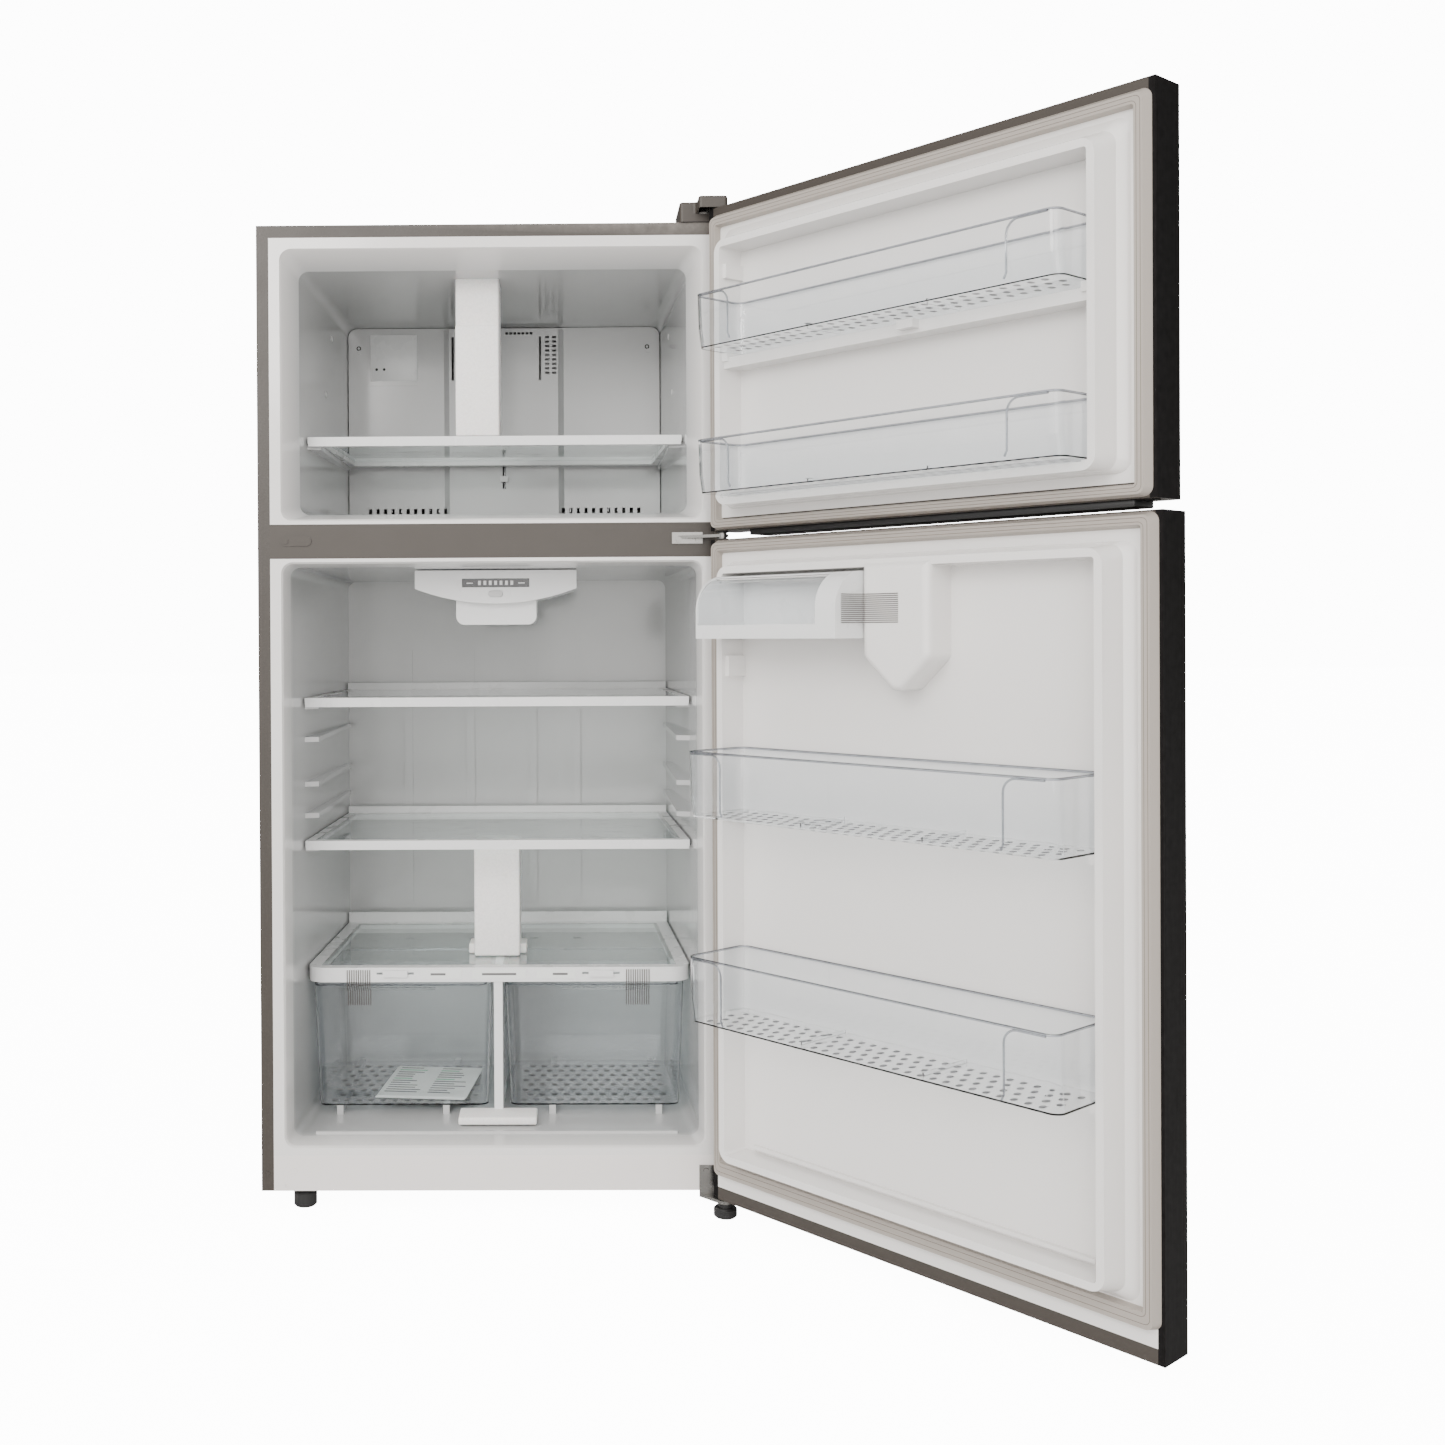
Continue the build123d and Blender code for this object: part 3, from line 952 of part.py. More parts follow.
FOAM_SINK = 12.0
pocket_x0, pocket_x1 = DOOR_X0 + DYKE_IN - 1, DOOR_X1 - DYKE_IN + 1
freezer_bin_zs = tuple(FREEZER_DOOR_Z0 + up for up in FREEZER_BIN_UPS)
fridge_bin_zs = tuple(FRIDGE_DOOR_Z0 + up for up in FRIDGE_BIN_UPS)
for prefix, base, z0, z1, bottoms, tops, bin_zs, feet, lips, lugs, handle_z in (
    ("freezer", FREEZER_DOOR, FREEZER_DOOR_Z0, FREEZER_DOOR_Z1, (36, 38, 39), (45, 61, 75), freezer_bin_zs,
     ((5, 2, 14), (27, 20, 37)), ((12, 5, 21), (25, 17, 35)),
     ((pocket_x0, pocket_x1, 40, freezer_bin_zs[1] - 26, freezer_bin_zs[1] - 8),
      (DOOR_MID + 31, DOOR_MID + 61, 56, freezer_bin_zs[1] - 20, freezer_bin_zs[1] - 7),
      (pocket_x0 - 2, pocket_x0 + 8, 42, freezer_bin_zs[1] + 127, freezer_bin_zs[1] + 151)),
     (FREEZER_DOOR_Z0 + 39, FREEZER_DOOR_Z0 + 359)),
    ("fridge", FRIDGE_DOOR, FRIDGE_DOOR_Z0, FRIDGE_DOOR_Z1, (74, 85, 92), (40, 43, 50), fridge_bin_zs,
     ((5, 46, 2), (27, 72, 24)), ((12, 48, 7), (25, 70, 20)),
     ((pocket_x0 + 25, pocket_x1 - 25, 8, FRIDGE_DOOR_Z0 + 112, FRIDGE_DOOR_Z0 + 118),
      (pocket_x0 - 2, pocket_x0 + 8, 42, FRIDGE_DOOR_Z1 - 236, FRIDGE_DOOR_Z1 - 201)),
     (FRIDGE_DOOR_Z1 - 486, FRIDGE_DOOR_Z1 - 36)),
):
    pillar_top = z1 - tops[2] - 6
    pillared = prefix == "fridge"
    bosses = [pillar(base, pillar_top, 0, LINER_SHEET)] if pillared else []
    hollows = [pillar(base, pillar_top, LINER_T, FOAM_SINK)] if pillared else []
    skin = make_skin(f"{prefix}_door_skin", base, z0, z1)
    caps = make_caps(f"{prefix}_door_caps", base, z0, z1, skin)
    with BuildPart() as door_liner:
        add(make_liner(base, z0, z1, bottoms, tops, bin_zs, lugs, bosses, hollows))
        add(skin, mode=Mode.SUBTRACT)
    hand_in(door_liner.part, f"{prefix}_door_liner")
    with BuildPart() as foam:
        add(door_core(base, z0, z1, z0 + CAP_H, z1 - CAP_H, skin))
        add(dyke(base, z0, z1, bottoms, tops, LINER_T, FOAM_SINK))
        for hollow in hollows:
            add(hollow)
        add(door_liner.part, mode=Mode.SUBTRACT)
    hand_in(foam.part, f"{prefix}_door_foam")
    make_gasket(f"{prefix}_door_gasket", base, z0, z1, feet, lips)
    make_handle(f"{prefix}_handle", base, *handle_z)

for place, z in zip(("lower", "upper"), freezer_bin_zs):
    make_bin(f"freezer_bin_{place}", FREEZER_DOOR, z, FREEZER_BIN_D, FREEZER_BIN_H)
for place, z in zip(("lower", "upper"), fridge_bin_zs):
    make_bin(f"fridge_bin_{place}", FRIDGE_DOOR, z, FRIDGE_BIN_D, FRIDGE_BIN_H)

# ---------------------------------------------------------------- dairy bin
DAIRY_Z0 = FRIDGE_DOOR_Z1 - DAIRY_DOWN
DAIRY_Z1 = DAIRY_Z0 + DAIRY_H
DAIRY_X0 = BIN_X0 + 2
DAIRY_X1 = DAIRY_X0 + DAIRY_W - 9
DAIRY_END = 40.0  # white end section
DAIRY_WALL = 2.5
PIVOT_D, PIVOT_Z = 60.0, DAIRY_Z1 - 7
PIVOT_R = 3.0


def dairy_profile(x, shrink, back):
    """The side view of the dairy bin at a place along the door: y against height."""
    front = V_IN - DAIRY_D + 2 + shrink
    top = DAIRY_Z1 - shrink
    with BuildSketch(sideways(x, FRIDGE_DOOR)) as profile:
        with BuildLine():
            Polyline((V_IN - PIVOT_D, top), (back, top), (back, DAIRY_Z0 + shrink),
                     (front, DAIRY_Z0 + shrink), (front, DAIRY_Z0 + 40))
            ThreePointArc((front, DAIRY_Z0 + 40), (V_IN - PIVOT_D - 43 + shrink * 0.7, top - 20),
                          (V_IN - PIVOT_D, top))
        make_face()
    return profile.sketch


with BuildPart() as dairy_housing:
    for x0, x1 in ((DAIRY_X0, DAIRY_X0 + DAIRY_WALL), (DAIRY_X1 - DAIRY_END, DAIRY_X1)):
        extrude(dairy_profile(x0, 0, V_IN), amount=x1 - x0)
    extrude(dairy_profile(DAIRY_X1 - DAIRY_END + DAIRY_WALL, DAIRY_WALL, V_IN + 1),
            amount=DAIRY_END - 2 * DAIRY_WALL, mode=Mode.SUBTRACT)
    front = V_IN - DAIRY_D + 2
    block(DAIRY_X0, DAIRY_X1, front, V_IN, DAIRY_Z0, DAIRY_Z0 + DAIRY_WALL, FRIDGE_DOOR)
    block(DAIRY_X0, DAIRY_X1, V_IN - DAIRY_WALL, V_IN, DAIRY_Z0, DAIRY_Z1, FRIDGE_DOOR)
    block(DAIRY_X0, DAIRY_X1, front, front + DAIRY_WALL, DAIRY_Z0, DAIRY_Z0 + 22, FRIDGE_DOOR)
    block(DAIRY_X0, DAIRY_X1, V_IN - PIVOT_D + 10, V_IN, DAIRY_Z1 - DAIRY_WALL, DAIRY_Z1, FRIDGE_DOOR)
    rod_along_x(PIVOT_R + PIN_FIT, V_IN - PIVOT_D, PIVOT_Z, DAIRY_X0 - 1, DAIRY_X1 - DAIRY_END + 5,
                FRIDGE_DOOR, Mode.SUBTRACT)
hand_in(dairy_housing.part, "dairy_housing")

with BuildPart() as dairy_cover:
    cover_from, cover_to = DAIRY_X0 + DAIRY_WALL + 0.6, DAIRY_X1 - DAIRY_END - 0.6
    cover_t = 2.2
    low = DAIRY_Z0 + 23
    outer_y, inner_y = front + 0.4, front + 0.4 + cover_t
    with BuildSketch(sideways(cover_from, FRIDGE_DOOR)):
        with BuildLine():
            Polyline((V_IN - PIVOT_D, DAIRY_Z1 - 3 - cover_t), (V_IN - PIVOT_D, DAIRY_Z1 - 3))
            ThreePointArc((V_IN - PIVOT_D, DAIRY_Z1 - 3), (V_IN - PIVOT_D - 42, DAIRY_Z1 - 21.4),
                          (outer_y, DAIRY_Z0 + 40))
            Polyline((outer_y, DAIRY_Z0 + 40), (outer_y, low), (inner_y, low), (inner_y, DAIRY_Z0 + 40))
            ThreePointArc((inner_y, DAIRY_Z0 + 40), (V_IN - PIVOT_D - 40.4, DAIRY_Z1 - 23),
                          (V_IN - PIVOT_D, DAIRY_Z1 - 3 - cover_t))
        make_face()
    extrude(amount=cover_to - cover_from)
    rod_along_x(4.4, V_IN - PIVOT_D, PIVOT_Z, cover_from, cover_to, FRIDGE_DOOR)
    rod_along_x(PIVOT_R, V_IN - PIVOT_D, PIVOT_Z, DAIRY_X0 + 0.5, DAIRY_X1 - DAIRY_END + 3, FRIDGE_DOOR)
hand_in(dairy_cover.part, "dairy_cover")
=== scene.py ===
import json
import logging
import math
import random
from dataclasses import dataclass, field
from enum import Enum

import bmesh
import bpy
from mathutils import Matrix, Vector


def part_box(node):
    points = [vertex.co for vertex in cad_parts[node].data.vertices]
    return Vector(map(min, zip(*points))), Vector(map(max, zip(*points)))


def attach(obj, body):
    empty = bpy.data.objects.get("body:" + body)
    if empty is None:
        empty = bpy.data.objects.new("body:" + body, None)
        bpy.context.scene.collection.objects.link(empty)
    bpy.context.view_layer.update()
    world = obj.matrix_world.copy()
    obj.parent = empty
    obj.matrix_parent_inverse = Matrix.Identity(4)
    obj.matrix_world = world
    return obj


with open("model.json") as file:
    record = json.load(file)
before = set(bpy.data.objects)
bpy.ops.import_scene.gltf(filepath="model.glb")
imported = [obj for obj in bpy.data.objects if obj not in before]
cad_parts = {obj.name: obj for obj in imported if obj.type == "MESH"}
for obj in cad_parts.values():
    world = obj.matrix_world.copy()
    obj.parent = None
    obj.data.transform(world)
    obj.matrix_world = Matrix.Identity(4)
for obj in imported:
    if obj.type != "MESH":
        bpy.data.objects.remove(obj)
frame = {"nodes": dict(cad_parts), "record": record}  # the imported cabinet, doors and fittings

log = logging.getLogger("refrigerator")
Colour = tuple[float, float, float]
Span = tuple[float, float]
Tree = bpy.types.NodeTree
Node = bpy.types.Node
Socket = bpy.types.NodeSocket
Material = bpy.types.Material
BMesh = bmesh.types.BMesh
CASE_DEPTH = 0.712
SMOOTH_ANGLE = 35.0  # faces that meet under this many degrees shade smooth
SEATING = 0.0001  # how far a small piece is sunk into the face that it stands on
THREAD_THICKNESS = 0.0004
BEAD_SIDES = 8
NUMBER = "NodeSocketFloat"
COLOUR = "NodeSocketColor"


class Body(Enum):
    """The rigid bodies that pieces made here ride on."""

    CABINET = "cabinet"
    FREEZER_DOOR = "freezer_door"
    FRIDGE_DOOR = "fridge_door"
    FREEZER_SHELF = "freezer_shelf"
    CRISPER_LEFT = "crisper_left"
    CRISPER_RIGHT = "crisper_right"
    FREEZER_BIN_LOWER = "freezer_bin_lower"
    FREEZER_BIN_UPPER = "freezer_bin_upper"
    FRIDGE_BIN_LOWER = "fridge_bin_lower"
    FRIDGE_BIN_UPPER = "fridge_bin_upper"


class Slot(Enum):
    """Material slots of the record, by name."""

    LINER = "white_liner"
    CLEAR = "clear_plastic"
    GREY = "grey_plastic"
    BLACK = "black_plastic"
    FOAM = "foam"


# ---------------------------------------------------------------- shared shader effects
def add_node(tree: Tree, kind: str, **settings: object) -> Node:
    """Adds a node and sets its properties.

    Args:
        tree: Tree that takes the node.
        kind: Node type.
        settings: Property names and values.

    Returns:
        The new node.
    """
    node = tree.nodes.new(kind)
    for key, value in settings.items():
        setattr(node, key, value)
    return node


def make_group(name: str, inputs: list[tuple[str, str, object]], outputs: list[tuple[str, str]]) -> tuple:
    """Starts a shader node group with its sockets.

    Args:
        name: Name of the group.
        inputs: Label, socket type and default value of each input.
        outputs: Label and socket type of each output.

    Returns:
        The new group, what it's given, what it results in, and the place on the object.
    """
    group = bpy.data.node_groups.new(name, "ShaderNodeTree")
    for label, kind, value in inputs:
        group.interface.new_socket(label, in_out="INPUT", socket_type=kind).default_value = value
    for label, kind in outputs:
        group.interface.new_socket(label, in_out="OUTPUT", socket_type=kind)
    given = group.nodes.new("NodeGroupInput").outputs
    result = group.nodes.new("NodeGroupOutput").inputs
    return group, given, result, add_node(group, "ShaderNodeTexCoord").outputs["Object"]


def feed(tree: Tree, value: object, socket: Socket) -> None:
    """Links an output to an input, or sets the input to a plain value.

    Args:
        tree: Tree that both belong to.
        value: Output socket or plain value.
        socket: Input that takes it.
    """
    if isinstance(value, Socket):
        tree.links.new(value, socket)
    else:
        socket.default_value = value


def calculate(tree: Tree, operation: str, a: object, b: object) -> Socket:
    """Adds a math node fed by sockets or plain numbers.

    Args:
        tree: Tree that takes the node.
        operation: Name of the math operation.
        a: First socket or number.
        b: Second socket or number.

    Returns:
        The node's output socket.
    """
    node = add_node(tree, "ShaderNodeMath", operation=operation)
    feed(tree, a, node.inputs[0])
    feed(tree, b, node.inputs[1])
    return node.outputs[0]


def noise(tree: Tree, place: object, scale: object, detail: float) -> Socket:
    """Adds a noise texture.

    Args:
        tree: Tree that takes the node.
        place: Socket of the coordinates.
        scale: Scale, as a socket or a number.
        detail: Octaves of detail.

    Returns:
        The socket of its value.
    """
    node = add_node(tree, "ShaderNodeTexNoise")
    for label, value in (("Detail", detail), ("Vector", place), ("Scale", scale)):
        feed(tree, value, node.inputs[label])
    return node.outputs["Fac"]


def mix_colours(tree: Tree, share: object, first: object, second: object) -> Socket:
    """Adds a mix of two colours.

    Args:
        tree: Tree that takes the node.
        share: Socket of the second colour's share.
        first: First colour, as a socket or as four numbers.
        second: Second colour, as a socket or as four numbers.

    Returns:
        The socket of the mixed colour.
    """
    node = add_node(tree, "ShaderNodeMix", data_type="RGBA")
    for label, value in (("Factor", share), ("A", first), ("B", second)):
        feed(tree, value, node.inputs[label])
    return node.outputs["Result"]


def split_by_ray(tree: Tree, ray: str, usual: Socket, special: Socket,
                 output: str) -> None:
    """Shows one shader to one kind of ray and another to all others.

    Args:
        tree: Tree of a material or of the world.
        ray: Which rays are singled out.
        usual: Shader for all others.
        special: Shader for those rays.
        output: Name of the tree's output node.
    """
    mix = add_node(tree, "ShaderNodeMixShader")
    choice = add_node(tree, "ShaderNodeLightPath").outputs[ray]
    for socket, value in zip(mix.inputs, (choice, usual, special)):
        tree.links.new(value, socket)
    tree.links.new(mix.outputs["Shader"], tree.nodes[output].inputs["Surface"])


def moulded_group() -> Tree:
    """Builds the grain of moulded plastic: slow tint changes, uneven gloss and a fine height.

    Returns:
        The finished group.
    """
    g, given, result, place = make_group(
        "moulded_grain",
        [("Colour", COLOUR, (0.8, 0.8, 0.8, 1)), ("Tint", COLOUR, (0.7, 0.7, 0.7, 1)),
         ("Amount", NUMBER, 0.3), ("Gloss", NUMBER, 0.3), ("Spread", NUMBER, 0.1), ("Grain", NUMBER, 900.0)],
        [("Colour", COLOUR), ("Roughness", NUMBER), ("Height", NUMBER)])
    share = calculate(g, "MULTIPLY", noise(g, place, 2.3, 3), given["Amount"])
    g.links.new(mix_colours(g, share, given["Colour"], given["Tint"]), result["Colour"])
    smear = calculate(g, "SUBTRACT", noise(g, place, 14.0, 4), 0.5)
    uneven = calculate(g, "MULTIPLY", smear, given["Spread"])
    g.links.new(calculate(g, "ADD", given["Gloss"], uneven), result["Roughness"])
    g.links.new(noise(g, place, given["Grain"], 2), result["Height"])
    return g


def pebble_group() -> Tree:
    """Builds the pebbled texture of embossed, painted sheet.

    Returns:
        The finished group.
    """
    g, given, result, place = make_group("pebbled_sheet", [("Scale", NUMBER, 420.0)],
                                         [("Height", NUMBER), ("Shade", NUMBER)])
    cells = add_node(g, "ShaderNodeTexVoronoi", feature="SMOOTH_F1")
    g.links.new(place, cells.inputs["Vector"])
    g.links.new(given["Scale"], cells.inputs["Scale"])
    fine = noise(g, place, calculate(g, "MULTIPLY", given["Scale"], 2.0), 2)
    bulge = calculate(g, "SUBTRACT", 1.0, cells.outputs["Distance"])
    g.links.new(calculate(g, "ADD", bulge, calculate(g, "MULTIPLY", fine, 0.3)), result["Height"])
    g.links.new(cells.outputs["Distance"], result["Shade"])
    return g


def brushed_group() -> Tree:
    """Builds the upright hairlines of brushed sheet.

    Returns:
        The finished group.
    """
    g, given, result, place = make_group("brushed_lines", [("Across", NUMBER, 900.0), ("Gloss", NUMBER, 0.3)],
                                         [("Height", NUMBER), ("Roughness", NUMBER)])
    squeeze = add_node(g, "ShaderNodeVectorMath", operation="MULTIPLY")
    squeeze.inputs[1].default_value = (1.0, 1.0, 0.012)
    g.links.new(place, squeeze.inputs[0])
    lines = noise(g, squeeze.outputs["Vector"], given["Across"], 3)
    g.links.new(lines, result["Height"])
    streaks = calculate(g, "MULTIPLY", lines, 0.22)
    g.links.new(calculate(g, "ADD", given["Gloss"], streaks), result["Roughness"])
    return g


def wear_group() -> Tree:
    """Builds a mask of rubbed outer edges.

    Returns:
        The finished group.
    """
    g, given, result, place = make_group(
        "edge_wear", [("Threshold", NUMBER, 0.55), ("Breakup", NUMBER, 60.0)], [("Mask", NUMBER)])
    edge = add_node(g, "ShaderNodeNewGeometry").outputs["Pointiness"]
    over = calculate(g, "MULTIPLY", calculate(g, "SUBTRACT", edge, given["Threshold"]), 14.0)
    clip = add_node(g, "ShaderNodeClamp")
    g.links.new(calculate(g, "MULTIPLY", over, noise(g, place, given["Breakup"], 4)), clip.inputs["Value"])
    g.links.new(clip.outputs["Result"], result["Mask"])
    return g


def dust_group() -> Tree:
    """Builds a mask of dust that settles on faces that look up.

    Returns:
        The finished group.
    """
    g, given, result, place = make_group("settled_dust", [("Amount", NUMBER, 0.2)], [("Mask", NUMBER)])
    split = add_node(g, "ShaderNodeSeparateXYZ")
    g.links.new(add_node(g, "ShaderNodeNewGeometry").outputs["Normal"], split.inputs["Vector"])
    up = calculate(g, "MAXIMUM", split.outputs["Z"], 0.0)
    flecks = calculate(g, "MULTIPLY", up, noise(g, place, 45.0, 6))
    g.links.new(calculate(g, "MULTIPLY", flecks, given["Amount"]), result["Mask"])
    return g


class Effects:
    """The shader node groups that finishes share, each built once."""

    makers = {"moulded": moulded_group, "pebble": pebble_group, "brushed": brushed_group,
              "wear": wear_group, "dust": dust_group}
    built: dict[str, Tree] = {}

    @classmethod
    def place(cls, tree: Tree, name: str, **values: object) -> Node:
        """Puts one effect into a material with its own values.

        Args:
            tree: The material's node tree.
            name: Which effect.
            values: Input labels and their values.

        Returns:
            The group node.
        """
        if name not in cls.built:
            cls.built[name] = cls.makers[name]()
        node = add_node(tree, "ShaderNodeGroup", node_tree=cls.built[name])
        for label, value in values.items():
            node.inputs[label].default_value = value
        return node


# ---------------------------------------------------------------- finishes
@dataclass(frozen=True)
class Finish:
    """A finish: the look of one kind of surface. Colours are linear."""

    name: str
    colour: Colour
    gloss: float = 0.35
    metallic: float = 0.0

    def start(self) -> tuple[Material, Tree, Node]:
        """Starts the material.

        Returns:
            The material, its tree and its main shader.
        """
        material = bpy.data.materials.new(self.name)
        material.use_nodes = True
        shader = material.node_tree.nodes["Principled BSDF"]
        shader.inputs["Base Color"].default_value = (*self.colour, 1)
        shader.inputs["Roughness"].default_value = self.gloss
        shader.inputs["Metallic"].default_value = self.metallic
        return material, material.node_tree, shader

    def bump(self, tree: Tree, shader: Node, height: Socket,
             depth: float, strength: float) -> None:
        """Feeds a height to the shader's normal.

        Args:
            tree: The material's tree.
            shader: Shader that takes the normal.
            height: Socket of the height.
            depth: Height in metres.
            strength: Share of the effect.
        """
        node = add_node(tree, "ShaderNodeBump")
        node.inputs["Distance"].default_value = depth
        node.inputs["Strength"].default_value = strength
        tree.links.new(height, node.inputs["Height"])
        tree.links.new(node.outputs["Normal"], shader.inputs["Normal"])

    def shade(self, share: float) -> tuple[float, ...]:
        """Gives the colour darkened to a share of itself, with full alpha."""
        return tuple(c * share for c in self.colour) + (1,)

    def build(self) -> Material:
        """Makes the material with its plain values."""
        return self.start()[0]


@dataclass(frozen=True)
class Moulding(Finish):
    """Injection or vacuum moulded plastic."""

    tint: Colour = (0.7, 0.7, 0.7)
    amount: float = 0.35
    spread: float = 0.10
    grain: float = 1400.0
    depth: float = 0.00004
    dust: float = 0.0
    coat: float = 0.0

    def build(self) -> Material:
        """Makes the plastic with its tint, uneven gloss and grain.

        Returns:
            The material.
        """
        material, tree, shader = self.start()
        shader.inputs["Coat Weight"].default_value = self.coat
        shader.inputs["Coat Roughness"].default_value = 0.08
        look = Effects.place(tree, "moulded", Colour=(*self.colour, 1), Tint=(*self.tint, 1),
                             Amount=self.amount, Gloss=self.gloss, Spread=self.spread, Grain=self.grain)
        colour = look.outputs["Colour"]
        if self.dust:
            mask = Effects.place(tree, "dust", Amount=self.dust).outputs["Mask"]
            colour = mix_colours(tree, mask, colour, (0.42, 0.40, 0.37, 1))
        tree.links.new(colour, shader.inputs["Base Color"])
        tree.links.new(look.outputs["Roughness"], shader.inputs["Roughness"])
        self.bump(tree, shader, look.outputs["Height"], self.depth, 0.6)
        return material


@dataclass(frozen=True)
class DepthShadedMoulding(Moulding):
    """Vacuum formed liner with painted shade: its walls darken with depth behind the front lip, which keeps a
    brighter colour.
    """

    lip: Colour = (0.76, 0.745, 0.73)
    shade_starts_at: float = 0.004
    shade_full_at: float = 0.060

    def build(self) -> Material:
        """Makes the liner plastic, with painted shade that darkens it from the lip back into the walls.

        Returns:
            The material.
        """
        material = super().build()
        tree = material.node_tree
        socket = tree.nodes["Principled BSDF"].inputs["Base Color"]
        walls = socket.links[0].from_socket
        split = add_node(tree, "ShaderNodeSeparateXYZ")
        tree.links.new(add_node(tree, "ShaderNodeTexCoord").outputs["Object"], split.inputs["Vector"])
        # painted shade: the colour runs from the lip's colour at the front to the darker wall colour deeper in
        depth = add_node(tree, "ShaderNodeMapRange")
        depth.inputs["From Min"].default_value = CABINET.origin.y + self.shade_starts_at
        depth.inputs["From Max"].default_value = CABINET.origin.y + self.shade_full_at
        tree.links.new(split.outputs["Y"], depth.inputs["Value"])
        tree.links.new(mix_colours(tree, depth.outputs["Result"], (*self.lip, 1), walls), socket)
        return material


@dataclass(frozen=True)
class PebbledPaint(Finish):
    """Painted steel sheet with an embossed pebble texture and rubbed edges."""

    worn: Colour = (0.20, 0.18, 0.16)
    scale: float = 420.0
    depth: float = 0.00025

    def build(self) -> Material:
        """Makes the pebbled paint.

        Returns:
            The material.
        """
        material, tree, shader = self.start()
        pebble = Effects.place(tree, "pebble", Scale=self.scale)
        wear = Effects.place(tree, "wear", Threshold=0.56, Breakup=70.0)
        grain = Effects.place(tree, "moulded", Colour=(*self.colour, 1), Tint=self.shade(0.8), Amount=0.5,
                              Gloss=self.gloss, Spread=0.14)
        colour = mix_colours(tree, wear.outputs["Mask"], grain.outputs["Colour"], (*self.worn, 1))
        tree.links.new(colour, shader.inputs["Base Color"])
        tree.links.new(grain.outputs["Roughness"], shader.inputs["Roughness"])
        self.bump(tree, shader, pebble.outputs["Height"], self.depth, 0.7)
        return material


@dataclass(frozen=True)
class BrushedSheet(Finish):
    """Brushed, coated steel sheet with upright hairlines."""

    across: float = 900.0
    depth: float = 0.00004

    def build(self) -> Material:
        """Makes the brushed sheet.

        Returns:
            The material.
        """
        material, tree, shader = self.start()
        shader.inputs["Specular IOR Level"].default_value = 0.05
        lines = Effects.place(tree, "brushed", Across=self.across, Gloss=self.gloss)
        wear = Effects.place(tree, "wear", Threshold=0.57, Breakup=90.0)
        rubbed = tuple(c * 2 + 0.006 for c in self.colour) + (1,)
        colour = mix_colours(tree, wear.outputs["Mask"], (*self.colour, 1), rubbed)
        tree.links.new(colour, shader.inputs["Base Color"])
        tree.links.new(lines.outputs["Roughness"], shader.inputs["Roughness"])
        self.bump(tree, shader, lines.outputs["Height"], self.depth, 0.5)
        return material


@dataclass(frozen=True)
class PlatedMetal(Finish):
    """Zinc plated or bare metal with a crystalline mottle."""

    mottle: float = 120.0

    def build(self) -> Material:
        """Makes the plated metal.

        Returns:
            The material.
        """
        material, tree, shader = self.start()
        look = Effects.place(tree, "moulded", Colour=(*self.colour, 1), Tint=self.shade(0.7), Amount=0.8,
                             Gloss=self.gloss, Spread=0.25, Grain=self.mottle)
        tree.links.new(look.outputs["Colour"], shader.inputs["Base Color"])
        tree.links.new(look.outputs["Roughness"], shader.inputs["Roughness"])
        self.bump(tree, shader, look.outputs["Height"], 0.00008, 0.4)
        return material


@dataclass(frozen=True)
class Clear(Finish):
    """Clear plastic or glass that lets lamplight through."""

    index: float = 1.46
    haze: float = 0.02
    passing: Colour = (0.95, 0.97, 0.98)

    def build(self) -> Material:
        """Makes the clear material, with a faint unevenness of its faces.

        Returns:
            The material.
        """
        material, tree, shader = self.start()
        shader.inputs["Transmission Weight"].default_value = 1.0
        shader.inputs["IOR"].default_value = self.index
        look = Effects.place(tree, "moulded", Colour=(*self.colour, 1), Tint=(*self.colour, 1),
                             Gloss=self.haze, Spread=self.haze, Grain=26.0)
        tree.links.new(look.outputs["Roughness"], shader.inputs["Roughness"])
        self.bump(tree, shader, look.outputs["Height"], 0.0006, 0.18)
        through = add_node(tree, "ShaderNodeBsdfTransparent")
        through.inputs["Color"].default_value = (*self.passing, 1)
        split_by_ray(tree, "Is Shadow Ray", shader.outputs["BSDF"], through.outputs["BSDF"],
                     "Material Output")
        return material


@dataclass(frozen=True)
class Beaded(Finish):
    """Expanded bead foam: small closed cells pressed together."""

    bead: float = 260.0

    def build(self) -> Material:
        """Makes the bead foam.

        Returns:
            The material.
        """
        material, tree, shader = self.start()
        pebble = Effects.place(tree, "pebble", Scale=self.bead)
        colour = mix_colours(tree, pebble.outputs["Shade"], (*self.colour, 1), self.shade(0.86))
        tree.links.new(colour, shader.inputs["Base Color"])
        self.bump(tree, shader, pebble.outputs["Height"], 0.0005, 0.35)
        shader.inputs["Subsurface Weight"].default_value = 0.1
        shader.inputs["Subsurface Scale"].default_value = 0.004
        return material


@dataclass(frozen=True)
class FloorPaint(Finish):
    """Pale studio floor that a camera sees nearly as bright as the backdrop."""

    lift: float = 12.4

    def build(self) -> Material:
        """Makes the floor paint.

        Returns:
            The material.
        """
        material, tree, shader = self.start()
        look = Effects.place(tree, "moulded", Colour=(*self.colour, 1), Tint=self.shade(0.98), Amount=0.5,
                             Gloss=self.gloss, Spread=0.1, Grain=60.0)
        tree.links.new(look.outputs["Colour"], shader.inputs["Base Color"])
        tree.links.new(look.outputs["Roughness"], shader.inputs["Roughness"])
        shader.inputs["Specular IOR Level"].default_value = 0.1
        bright = add_node(tree, "ShaderNodeEmission")
        bright.inputs["Strength"].default_value = self.lift
        both = add_node(tree, "ShaderNodeAddShader")
        tree.links.new(shader.outputs["BSDF"], both.inputs[0])
        tree.links.new(bright.outputs["Emission"], both.inputs[1])
        split_by_ray(tree, "Is Camera Ray", shader.outputs["BSDF"], both.outputs["Shader"], "Material Output")
        return material


